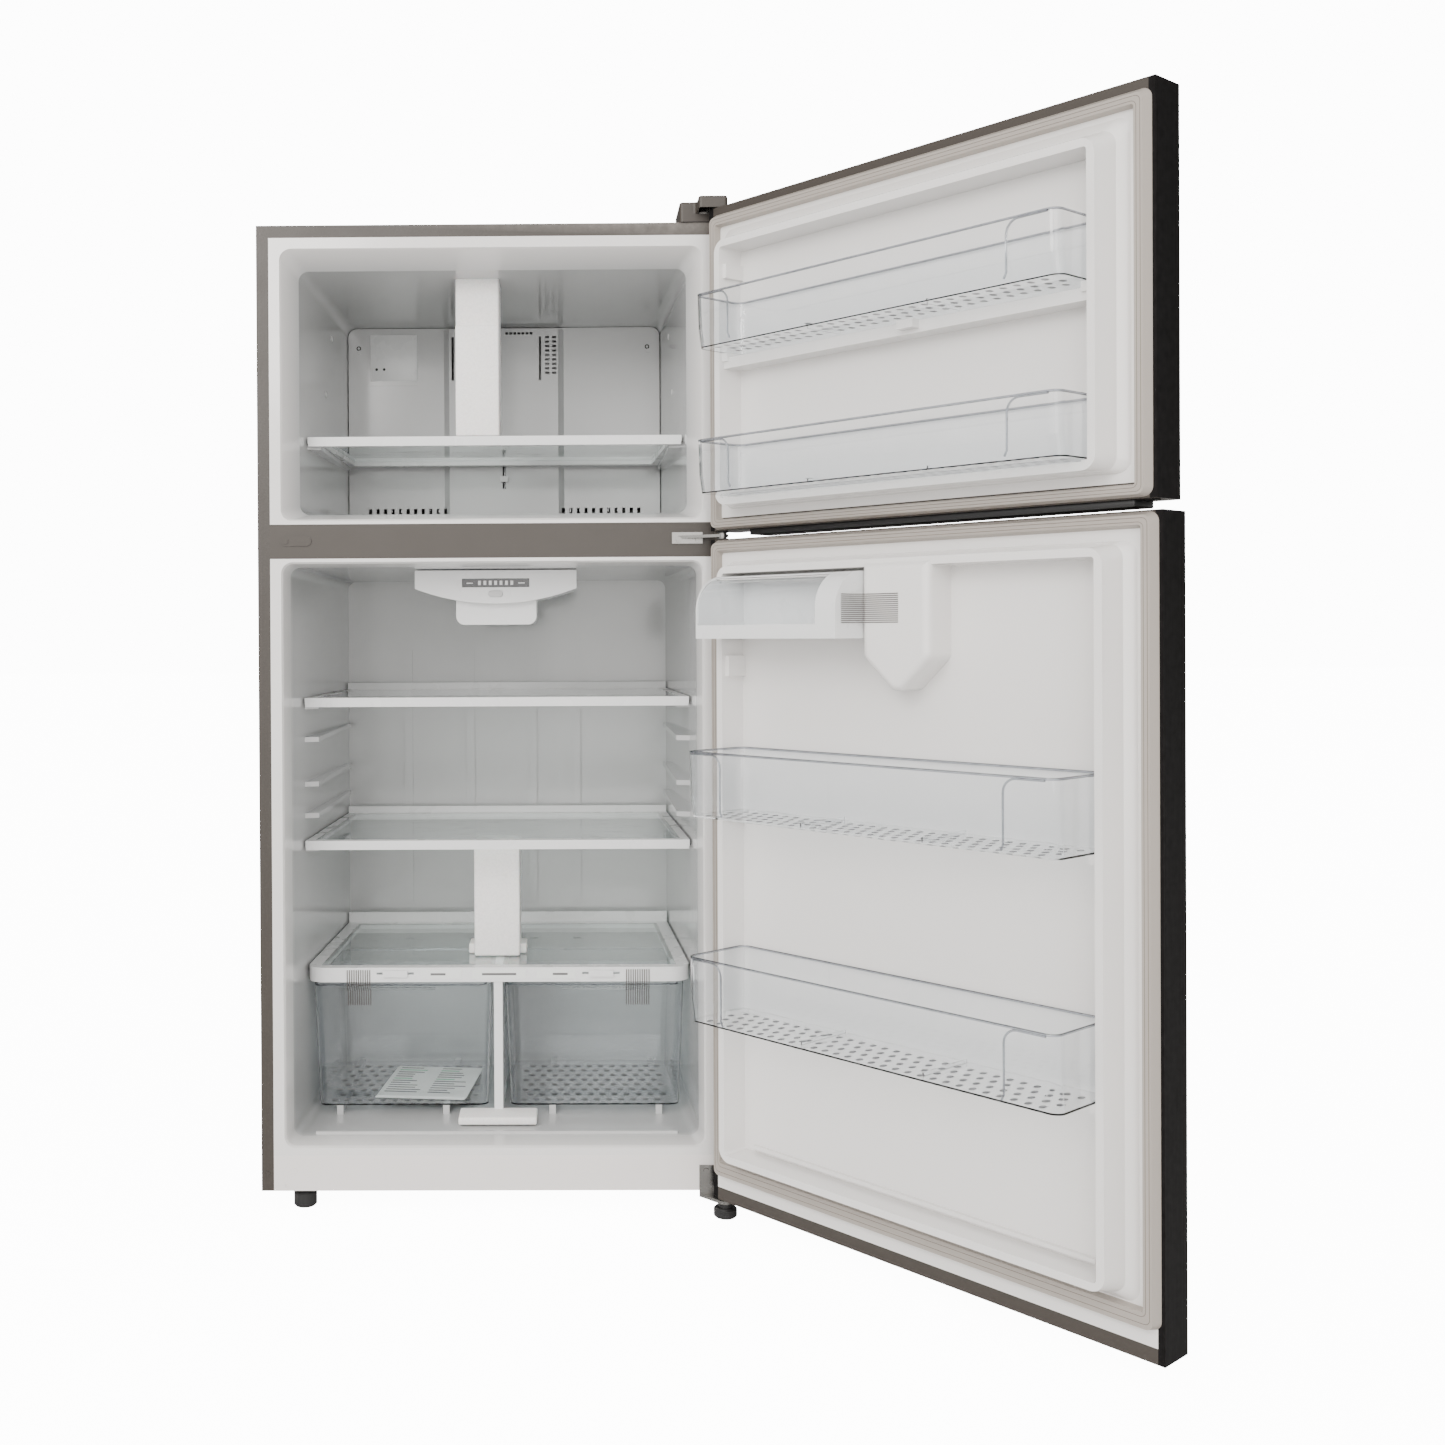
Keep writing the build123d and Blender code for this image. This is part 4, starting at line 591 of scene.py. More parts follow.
TAUPE = PebbledPaint("taupe_pebbled_paint", (0.040, 0.0325, 0.026), 0.42)
TAUPE_CAP = Moulding("taupe_moulding", (0.043, 0.035, 0.028), 0.45, tint=(0.036, 0.029, 0.023), depth=0.00006)
DARK_SHEET = BrushedSheet("dark_brushed_sheet", (0.0030, 0.0026, 0.0026), 0.38, 0.0)
# The liner's wall colour is darkened as painted shade: it is much darker than the same white plastic of the door
# liner.
LINER = DepthShadedMoulding("white_liner", (0.47, 0.474, 0.475), 0.14, tint=(0.50, 0.51, 0.515),
                      spread=0.08, coat=0.4)
DOOR_LINER = Moulding("door_liner", (0.80, 0.785, 0.77), 0.20, tint=(0.77, 0.75, 0.73),
                      spread=0.12, coat=0.25)
FITTING = Moulding("white_fitting", (0.76, 0.765, 0.765), 0.28, tint=(0.70, 0.71, 0.715), dust=0.06)
KICK = Moulding("kick_moulding", (0.80, 0.765, 0.745), 0.38, tint=(0.74, 0.71, 0.68), dust=0.10)
GREY = Moulding("grey_moulding", (0.55, 0.55, 0.55), 0.4, tint=(0.5, 0.5, 0.5))
SEAL = Moulding("seal_vinyl", (0.36, 0.325, 0.29), 0.42, tint=(0.31, 0.28, 0.25),
                grain=500.0, depth=0.0001, dust=0.08)
BLACK = Moulding("black_moulding", (0.006, 0.006, 0.0065), 0.40, tint=(0.012, 0.012, 0.012), dust=0.04)
BLACK_PAINT = Moulding("black_enamel", (0.012, 0.012, 0.013), 0.30, tint=(0.02, 0.02, 0.02), dust=0.3)
ZINC = PlatedMetal("zinc_plate", (0.52, 0.52, 0.50), 0.34, 1.0)
BRACKET = PlatedMetal("hinge_steel", (0.24, 0.235, 0.225), 0.26, 1.0)
ALUMINIUM = PlatedMetal("mill_aluminium", (0.76, 0.77, 0.78), 0.30, 1.0)
INSULATION = Beaded("cream_insulation", (0.80, 0.72, 0.52), 0.9, bead=500.0)
PACKING = Beaded("white_bead_foam", (0.97, 0.95, 0.93), 0.85)
# The crispers' clear plastic is tinted darker than the other clear plastic as painted shade of their dim inside.
SHADE_TINTED_CRISPER = Clear("crisper_moulding_shade_tinted", (0.89, 0.905, 0.915), index=1.42, haze=0.03, passing=(0.86, 0.89, 0.9))
CLEAR_EDGE = Clear("clear_edge", (0.50, 0.52, 0.56), index=1.45, haze=0.02, passing=(0.7, 0.72, 0.75))
CLEAR = Clear("clear_moulding", (0.97, 0.98, 0.99), index=1.42, haze=0.03)
PLATE_GLASS = Clear("shelf_glass", (0.86, 0.93, 0.92), index=1.45, haze=0.015, passing=(0.92, 0.96, 0.95))
# dark colour of the seal's groove beads: painted shade in the grooves
GROOVE_SHADE = Moulding("seal_groove_shade", (0.15, 0.13, 0.115), 0.5, tint=(0.19, 0.17, 0.15))
THREAD = Moulding("tape_thread", (0.16, 0.145, 0.135), 0.4, tint=(0.24, 0.22, 0.20))
DIMPLE = Moulding("shaded_dimple", (0.07, 0.072, 0.075), 0.3, tint=(0.11, 0.112, 0.115))
PAPER = Moulding("coated_paper", (0.78, 0.80, 0.78), 0.4, tint=(0.70, 0.75, 0.72), grain=700.0)
PRINT = Moulding("grey_print", (0.12, 0.12, 0.12), 0.5, tint=(0.16, 0.16, 0.16))
GREEN_PRINT = Moulding("green_print", (0.16, 0.42, 0.26), 0.5, tint=(0.2, 0.5, 0.3))
DISPLAY = Moulding("display_window", (0.030, 0.030, 0.034), 0.15, tint=(0.04, 0.04, 0.045), coat=0.5)


class Palette:
    """Finished materials, each built the first time that it is asked for."""

    made: dict[str, Material] = {}

    @classmethod
    def get(cls, finish: Finish) -> Material:
        """Gives the material of a finish.

        Args:
            finish: The finish.

        Returns:
            Its material.
        """
        if finish.name not in cls.made:
            cls.made[finish.name] = finish.build()
        return cls.made[finish.name]


# ---------------------------------------------------------------- places
@dataclass(frozen=True)
class Place:
    """A level frame: an origin and the two directions across it, heights being the row's."""

    origin: Vector
    across: Vector
    out: Vector

    def at(self, x: float, y: float, z: float) -> Vector:
        """Gives the row-frame point of a local one.

        Args:
            x: Local distance across.
            y: Local distance out.
            z: Height.

        Returns:
            The point.
        """
        return self.origin + self.across * x + self.out * y + Vector((0, 0, z))

    def matrix(self) -> Matrix:
        """Gives the local-to-row matrix, a pure turn and move."""
        m = Matrix.Identity(4)
        m.col[0][:3], m.col[1][:3], m.col[3][:3] = self.across, self.out, self.origin
        return m


def cabinet_place() -> Place:
    """Gives the cabinet's frame: x from its middle, y back from its front, in metres."""
    low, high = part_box("outer_case")
    return Place(Vector(((low.x + high.x) / 2, high.y - CASE_DEPTH, 0)), Vector((1, 0, 0)), Vector((0, 1, 0)))


def door_place(joint_name: str) -> Place:
    """Gives a door's frame from its hinge.

    Args:
        joint_name: Name of the door's hinge in the record.

    Returns:
        The frame: x from the hinge axis towards the free edge, y out of the outer face.
    """
    joint = next(j for j in frame["record"]["behaviour"]["joints"] if j["name"] == joint_name)
    turn = math.radians(-joint["range_deg"][0])
    x, y = joint["pos_m"][0], joint["pos_m"][1]
    return Place(Vector((x, y, 0)), Vector((-math.cos(turn), -math.sin(turn), 0)),
                 Vector((math.sin(turn), -math.cos(turn), 0)))


CABINET = cabinet_place()
FREEZER_DOOR = door_place("freezer_door_hinge")
FRIDGE_DOOR = door_place("fridge_door_hinge")
DOOR_IN = -0.017  # inner face of both doors, from the hinge axis
DOOR_WIDTH = 0.832
HINGE_EDGE = 0.011


# ---------------------------------------------------------------- mesh work
def local_box(node: str) -> tuple[Vector, Vector]:
    """Gives a node's box in the cabinet's frame.

    Args:
        node: Name of the node.

    Returns:
        Its lowest and highest corners.
    """
    low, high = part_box(node)
    return low - CABINET.origin, high - CABINET.origin


def mesh_from(name: str, build: BMesh) -> bpy.types.Mesh:
    """Turns a bmesh into a mesh with outward normals and frees it.

    Args:
        name: Mesh name.
        build: The bmesh.

    Returns:
        The mesh.
    """
    bmesh.ops.recalc_face_normals(build, faces=build.faces)
    mesh = bpy.data.meshes.new(name)
    build.to_mesh(mesh)
    build.free()
    return mesh


def add_piece(name: str, build: BMesh, place: Place, finish: Finish, body: Body) -> None:
    """Puts what was drawn in a local frame into the scene and onto its body.

    Args:
        name: Piece name.
        build: Its shape in the local frame.
        place: The local frame.
        finish: Its finish.
        body: Body it rides on.
    """
    mesh = mesh_from(name, build)
    mesh.transform(place.matrix())
    mesh.materials.append(Palette.get(finish))
    for polygon in mesh.polygons:
        polygon.use_smooth = True
    mesh.set_sharp_from_angle(angle=math.radians(SMOOTH_ANGLE))
    piece = bpy.data.objects.new(name, mesh)
    bpy.context.scene.collection.objects.link(piece)
    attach(piece, body.value)
    log.info("%s: %d faces on %s", name, len(mesh.polygons), body.value)


def add_block(build: BMesh, x: Span, y: Span, z: Span, edge: float, segments: int = 2) -> None:
    """Adds a block with rounded edges.

    Args:
        build: Mesh that takes it.
        x: Where it starts and ends along x.
        y: Where it starts and ends along y.
        z: Where it starts and ends along z.
        edge: Radius of its edges.
        segments: Facets of each rounding.
    """
    corners = bmesh.ops.create_cube(build, size=1.0)["verts"]
    spans = (x, y, z)
    for corner in corners:
        corner.co = [(low + high) / 2 + share * (high - low) for share, (low, high) in zip(corner.co, spans)]
    edges = list({e for v in corners for e in v.link_edges})
    bmesh.ops.bevel(build, geom=edges, offset=edge, segments=segments, profile=0.5, affect="EDGES",
                    clamp_overlap=True)


def sweep(points: list[Vector], radius: float, closed: bool = False,
          across: tuple[float, float, float] = (0, 0, 1)) -> BMesh:
    """Sweeps a round bead along a flat path.

    Args:
        points: Points of the path.
        radius: Bead radius.
        closed: Whether the path meets itself.
        across: Direction square to the path's plane.

    Returns:
        The bead.
    """
    build = bmesh.new()
    rings = []
    count = len(points)
    turns = [2 * math.pi * k / BEAD_SIDES for k in range(BEAD_SIDES)]
    for i, point in enumerate(points):
        before = points[i - 1] if i or closed else point
        after = points[(i + 1) % count] if i < count - 1 or closed else point
        along = (after - before).normalized()
        side = along.cross(Vector(across)).normalized()
        up = side.cross(along)
        rings.append([build.verts.new(point + side * math.cos(a) * radius + up * math.sin(a) * radius)
                      for a in turns])
    for first, second in list(zip(rings, rings[1:])) + ([(rings[-1], rings[0])] if closed else []):
        for k in range(BEAD_SIDES):
            n = (k + 1) % BEAD_SIDES
            build.faces.new((first[k], first[n], second[n], second[k]))
    if not closed:
        build.faces.new(rings[0])
        build.faces.new(rings[-1])
    return build


def threads(lines: list[list[Vector]], half: Vector) -> BMesh:
    """Makes flat threads along lines.

    Args:
        lines: Points along the middle of each thread.
        half: Step from a thread's middle to its edge.

    Returns:
        The threads.
    """
    build = bmesh.new()
    for line in lines:
        rows = [[build.verts.new(point - half), build.verts.new(point + half)] for point in line]
        for first, second in zip(rows, rows[1:]):
            build.faces.new((first[0], first[1], second[1], second[0]))
    bmesh.ops.solidify(build, geom=build.faces[:], thickness=THREAD_THICKNESS)
    return build


def rounded_path(x0: float, x1: float, y0: float, y1: float, z: float, corner: float,
                 steps: int = 6) -> list[Vector]:
    """Gives the points of a level rounded rectangle.

    Args:
        x0: Lowest x.
        x1: Highest x.
        y0: Lowest y.
        y1: Highest y.
        z: Height.
        corner: Corner radius.
        steps: Points in each corner.

    Returns:
        The points in order.
    """
    centres = ((x1 - corner, y1 - corner, 0), (x0 + corner, y1 - corner, 90), (x0 + corner, y0 + corner, 180),
               (x1 - corner, y0 + corner, 270))
    return [Vector((cx + corner * math.cos(math.radians(a0 + 90 * k / steps)),
                    cy + corner * math.sin(math.radians(a0 + 90 * k / steps)), z))
            for cx, cy, a0 in centres for k in range(steps + 1)]


def add_dome(build: BMesh, centre: Vector, rx: float, ry: float, height: float, sides: int = 10) -> None:
    """Adds a low oval dome, open underneath, standing on a level face.

    Args:
        build: Mesh that takes it.
        centre: Middle of its foot.
        rx: Half size along x.
        ry: Half size along y.
        height: Height of its top.
        sides: Facets round it.
    """
    rings = []
    for share, up in ((1.0, 0.0), (0.82, 0.72)):
        ring = []
        for k in range(sides):
            a = 2 * math.pi * k / sides
            step = Vector((rx * share * math.cos(a), ry * share * math.sin(a), height * up))
            ring.append(build.verts.new(centre + step))
        rings.append(ring)
    top = build.verts.new(centre + Vector((0, 0, height)))
    for k in range(sides):
        n = (k + 1) % sides
        build.faces.new((rings[0][k], rings[0][n], rings[1][n], rings[1][k]))
        build.faces.new((rings[1][k], rings[1][n], top))
    build.faces.new(list(reversed(rings[0])))


def surface(node: str, place: Place, start: tuple[float, float, float],
            toward: tuple[float, float, float]) -> Vector:
    """Finds where a straight line first meets a carried-over node.

    Args:
        node: Name of the node.
        place: Frame that the line is given in.
        start: Local point the line starts from.
        toward: Local direction of the line.

    Returns:
        The local point on the node's surface.
    """
    matrix = place.matrix()
    hit, point, _, _ = frame["nodes"][node].ray_cast(matrix @ Vector(start), matrix.to_3x3() @ Vector(toward))
    if not hit:
        raise ValueError(f"{node} isn't met from {start}")
    return matrix.inverted() @ point


def add_disc(build: BMesh, centre: Vector, normal: Vector, radius: float, height: float,
             sides: int = 20) -> None:
    """Adds a low round button standing on a face.

    Args:
        build: Mesh that takes it.
        centre: Middle of its foot.
        normal: Direction out of the face.
        radius: Its radius.
        height: How far it stands out.
        sides: Facets round it.
    """
    turn = normal.to_track_quat("Z", "Y").to_matrix().to_4x4()
    bmesh.ops.create_cone(build, segments=sides, radius1=radius, radius2=radius * 0.82, depth=height,
                          cap_ends=True, matrix=Matrix.Translation(centre + normal * (height / 2 - 0.0002)) @ turn)


# ---------------------------------------------------------------- sub-assemblies
@dataclass
class Shell:
    """The steel case, its rails, its hinges and what it stands on."""

    finishes: dict[str, Finish] = field(default_factory=lambda: {
        "outer_case": TAUPE, "mullion_rail": TAUPE_CAP, "back_panel": ZINC, "base_pan": ZINC,
        "kick_panel": KICK,
        "machine_cover": ZINC, "cord_gland": BLACK, "top_hinge": BRACKET, "top_hinge_cover": TAUPE_CAP,
        "middle_hinge": BRACKET, "lower_hinge": BRACKET, "foot_left": BLACK, "foot_right": BLACK,
        "roller_left": BLACK, "roller_right": BLACK, "insulation": INSULATION, "compressor": BLACK_PAINT,
        "condenser": BLACK_PAINT, "condenser_fan": BLACK, "condenser_fan_motor": BLACK})

    def dress(self) -> None:
        """Gives each carried-over node its finish."""
        dress_nodes(self.finishes)

    def build(self) -> None:
        """Adds the washers above and below the middle hinge."""
        low, high = local_box("middle_hinge")
        build = bmesh.new()
        for z in (high.z - 0.0145, low.z + 0.0145):
            add_block(build, (high.x - 0.021, high.x - 0.001), (low.y + 0.001, low.y + 0.021),
                      (z - 0.001, z + 0.001), 0.0006)
        add_piece("hinge_washers", build, CABINET, BLACK, Body.CABINET)


@dataclass
class Interior:
    """Liners, shelves, crispers and controls inside the cabinet."""

    dimple_step: float = 0.0115
    dimple_row: float = 0.032
    rim: float = 0.0016
    tape_x: float = 0.2605
    rail_top: float = 0.026
    finishes: dict[str, Finish] = field(default_factory=lambda: {
        "freezer_liner": LINER, "fridge_liner": LINER, "evaporator_cover": LINER, "evaporator": ALUMINIUM,
        "defrost_heater": ALUMINIUM, "evaporator_fan": BLACK, "evaporator_fan_motor": BLACK,
        "control_box": FITTING,
        "control_button": GREY, "air_control_knob": GREY, "crisper_cover": FITTING,
        "crisper_glass": PLATE_GLASS,
        "crisper_left": SHADE_TINTED_CRISPER, "crisper_right": SHADE_TINTED_CRISPER, "humidity_slider_left": FITTING,
        "humidity_slider_right": FITTING, "freezer_shelf": FITTING, "freezer_shelf_glass": PLATE_GLASS,
        "upper_shelf": FITTING, "upper_shelf_glass": PLATE_GLASS, "lower_shelf": FITTING,
        "lower_shelf_glass": PLATE_GLASS})

    def dress(self) -> None:
        """Gives each carried-over node its finish."""
        dress_nodes(self.finishes)

    def build(self) -> None:
        """Adds the display, the freezer's fixings, the crispers' details, the packing and the papers."""
        self.display()
        self.freezer_wall()
        for hand, body in (("left", Body.CRISPER_LEFT), ("right", Body.CRISPER_RIGHT)):
            self.crisper_floor(hand, body)
            self.crisper_rim(hand, body)
            self.tape(hand, body)
        self.packing()
        self.booklet()
        self.rail_label()

    def display(self) -> None:
        """Makes the dark display window with its plain lit marks."""
        low, high = local_box("control_box")
        front, middle, top = low.y, (low.x + high.x) / 2, high.z - 0.015
        window, marks = bmesh.new(), bmesh.new()
        add_block(window, (middle - 0.0625, middle + 0.0625), (front + 0.0004, front + 0.0014),
                  (top - 0.0165, top - 0.0005), 0.0004, 1)
        figures = [(middle - 0.030 + k * 0.010, 0.0026, 0.0125, 0.0045) for k in range(7)]
        dashes = [(middle + side * 0.048, 0.006, 0.010, 0.008) for side in (-1, 1)]
        raised = (front + 0.0001, front + 0.0005)
        for x, half, down, up in figures + dashes:
            add_block(marks, (x - half, x + half), raised, (top - down, top - up), 0.0001, 1)
        add_piece("display_window", window, CABINET, DISPLAY, Body.CABINET)
        add_piece("display_marks", marks, CABINET, FITTING, Body.CABINET)

    def freezer_wall(self) -> None:
        """Makes the blank plate, the screws and the painted shade of the holes in the freezer."""
        def back(x: float, z: float) -> Vector:
            """Gives the freezer's rear wall at a place seen from the front."""
            return surface("evaporator_cover", CABINET, (x, 0.30, z), (0, 1, 0))

        plate, dark, heads = bmesh.new(), bmesh.new(), bmesh.new()
        forward = Vector((0, -1, 0))
        y = back(-0.235, 1.610).y
        add_block(plate, (-0.283, -0.184), (y - 0.0009, y + 0.0004), (1.562, 1.660), 0.0008)
        # dark discs: painted shade in the plate's two holes and round the screws
        for x in (-0.270, -0.254):
            add_disc(dark, Vector((x, y - 0.0009, 1.587)), forward, 0.0032, 0.0006, 12)
        for x in (-0.308, 0.304):
            point = back(x, 1.632)
            add_disc(dark, point, forward, 0.0052, 0.0007)
            add_disc(heads, point + forward * 0.0006, forward, 0.0026, 0.0010, 12)
        for side in (-1, 1):
            for y, z in ((0.36, 1.618), (0.30, 1.497)):
                point = surface("freezer_liner", CABINET, (0, y, z), (side, 0, 0))
                add_disc(heads, point, Vector((-side, 0, 0)), 0.0062, 0.0018)
        add_piece("freezer_plate", plate, CABINET, FITTING, Body.CABINET)
        add_piece("freezer_screw_hole_shade", dark, CABINET, BLACK, Body.CABINET)
        add_piece("freezer_screws", heads, CABINET, GREY, Body.CABINET)

    def crisper_floor(self, hand: str, body: Body) -> None:
        """Makes the oval dimples of a crisper's floor.

        Args:
            hand: Which crisper.
            body: Its body.
        """
        low, high = local_box(f"crisper_{hand}")
        build = bmesh.new()
        row, y = 0, low.y + 0.045
        while y < high.y - 0.030:
            x = low.x + 0.034 + (row % 2) * self.dimple_step
            while x < high.x - 0.034:
                floor = surface(f"crisper_{hand}", CABINET, (x, y, low.z + 0.12), (0, 0, -1)).z
                add_dome(build, Vector((x, y, floor - SEATING)), 0.0066, 0.0092, 0.0009)
                x += self.dimple_step * 2
            y += self.dimple_row
            row += 1
        add_piece(f"crisper_dimples_{hand}", build, CABINET, DIMPLE, body)

    def crisper_rim(self, hand: str, body: Body) -> None:
        """Makes the rolled rim round a crisper's mouth.

        Args:
            hand: Which crisper.
            body: Its body.
        """
        low, high = local_box(f"crisper_{hand}")
        path = rounded_path(low.x + 0.004, high.x - 0.012, low.y + 0.0115, high.y - 0.003,
                            high.z - 0.0012, 0.014)
        add_piece(f"crisper_rim_{hand}", sweep(path, self.rim, closed=True), CABINET, CLEAR_EDGE, body)

    def tape(self, hand: str, body: Body) -> None:
        """Makes the threaded tape that holds a crisper shut for the journey.

        Args:
            hand: Which crisper.
            body: Its body.
        """
        low, high = local_box("crisper_cover")
        front, top = low.y, high.z - self.rail_top
        middle = -self.tape_x if hand == "left" else self.tape_x
        path = ((top, front - 0.0012), (top - 0.028, front - 0.0014), (top - 0.036, front + 0.004),
                (top - 0.041, front + 0.0108), (top - 0.069, front + 0.0118))
        lines = [[Vector((middle + k * 0.0042, y, z)) for z, y in path] for k in range(-5, 6)]
        add_piece(f"crisper_tape_{hand}", threads(lines, Vector((0.00085, 0, 0))), CABINET, THREAD, body)

    def packing(self) -> None:
        """Makes the bead foam blocks that hold the shelves and the crispers for the journey."""
        shelf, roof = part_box("freezer_shelf_glass")[1].z + 0.0008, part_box("freezer_liner")[1].z
        cover, low_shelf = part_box("crisper_glass")[1].z + 0.0008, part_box("lower_shelf")[0].z
        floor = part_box("crisper_left")[0].z
        freezer, fridge, loose = bmesh.new(), bmesh.new(), bmesh.new()
        add_block(freezer, (-0.071, 0.009), (0.118, 0.205), (shelf, roof - 0.0295), 0.004, 3)
        add_block(freezer, (-0.071, 0.009), (0.108, 0.122), (shelf, shelf + 0.2042), 0.003, 3)
        add_block(fridge, (-0.050, 0.038), (0.236, 0.330), (cover, low_shelf - 0.0008), 0.004, 3)
        add_block(fridge, (-0.062, 0.050), (0.262, 0.318), (cover, cover + 0.0192), 0.003, 3)
        add_block(loose, (-0.072, 0.072), (0.088, 0.149), (floor - 0.0150, floor - 0.0012), 0.003, 3)
        add_piece("packing_freezer", freezer, CABINET, PACKING, Body.FREEZER_SHELF)
        add_piece("packing_fridge", fridge, CABINET, PACKING, Body.CABINET)
        add_piece("packing_floor", loose, CABINET, PACKING, Body.CABINET)

    def booklet(self) -> None:
        """Makes a folded leaflet, with plain printed bars, lying in the left crisper."""
        low = local_box("crisper_left")[0]
        base = Vector((low.x + 0.205, low.y + 0.145, 0))
        base.z = surface("crisper_left", CABINET, (base.x, base.y, low.z + 0.12), (0, 0, -1)).z + 0.0014
        tilt = Matrix.Rotation(math.radians(-6), 3, "Z")
        sheets, bars, greens = bmesh.new(), bmesh.new(), bmesh.new()
        for k in range(3):
            slip, rise = k * 0.002, k * 0.0016
            add_block(sheets, (slip - 0.086, slip + 0.086), (-0.100, 0.100), (rise, rise + 0.0012), 0.0004, 1)
        rng = random.Random(7)
        for k in range(12):
            y = 0.084 - k * 0.0145
            target = greens if k in (1, 5) else bars
            for x in (-0.074, 0.010):
                add_block(target, (x, x + 0.034 + 0.034 * rng.random()), (y, y + 0.005),
                          (0.0045, 0.0049), 0.0001, 1)
        for label, build, finish in (("leaflet", sheets, PAPER), ("leaflet_bars", bars, PRINT),
                                     ("leaflet_headings", greens, GREEN_PRINT)):
            for vertex in build.verts:
                vertex.co = tilt @ vertex.co + base
            add_piece(label, build, CABINET, finish, Body.CRISPER_LEFT)

    def rail_label(self) -> None:
        """Makes the film label along the crisper cover's rail, with plain printed marks."""
        low, high = local_box("crisper_cover")
        front, top = low.y, high.z - self.rail_top
        film, marks = bmesh.new(), bmesh.new()
        for x in ((-0.145, -0.068), (-0.048, 0.052), (0.072, 0.145)):
            add_block(film, x, (front - 0.0006, front - 0.0001), (top - 0.017, top), 0.0001, 1)
        for x in ((-0.126, -0.098), (-0.030, 0.034), (0.102, 0.130)):
            add_block(marks, x, (front - 0.0009, front - 0.0005), (top - 0.0105, top - 0.0065), 0.0001, 1)
        add_piece("rail_film", film, CABINET, PAPER, Body.CABINET)
        add_piece("rail_marks", marks, CABINET, PRINT, Body.CABINET)


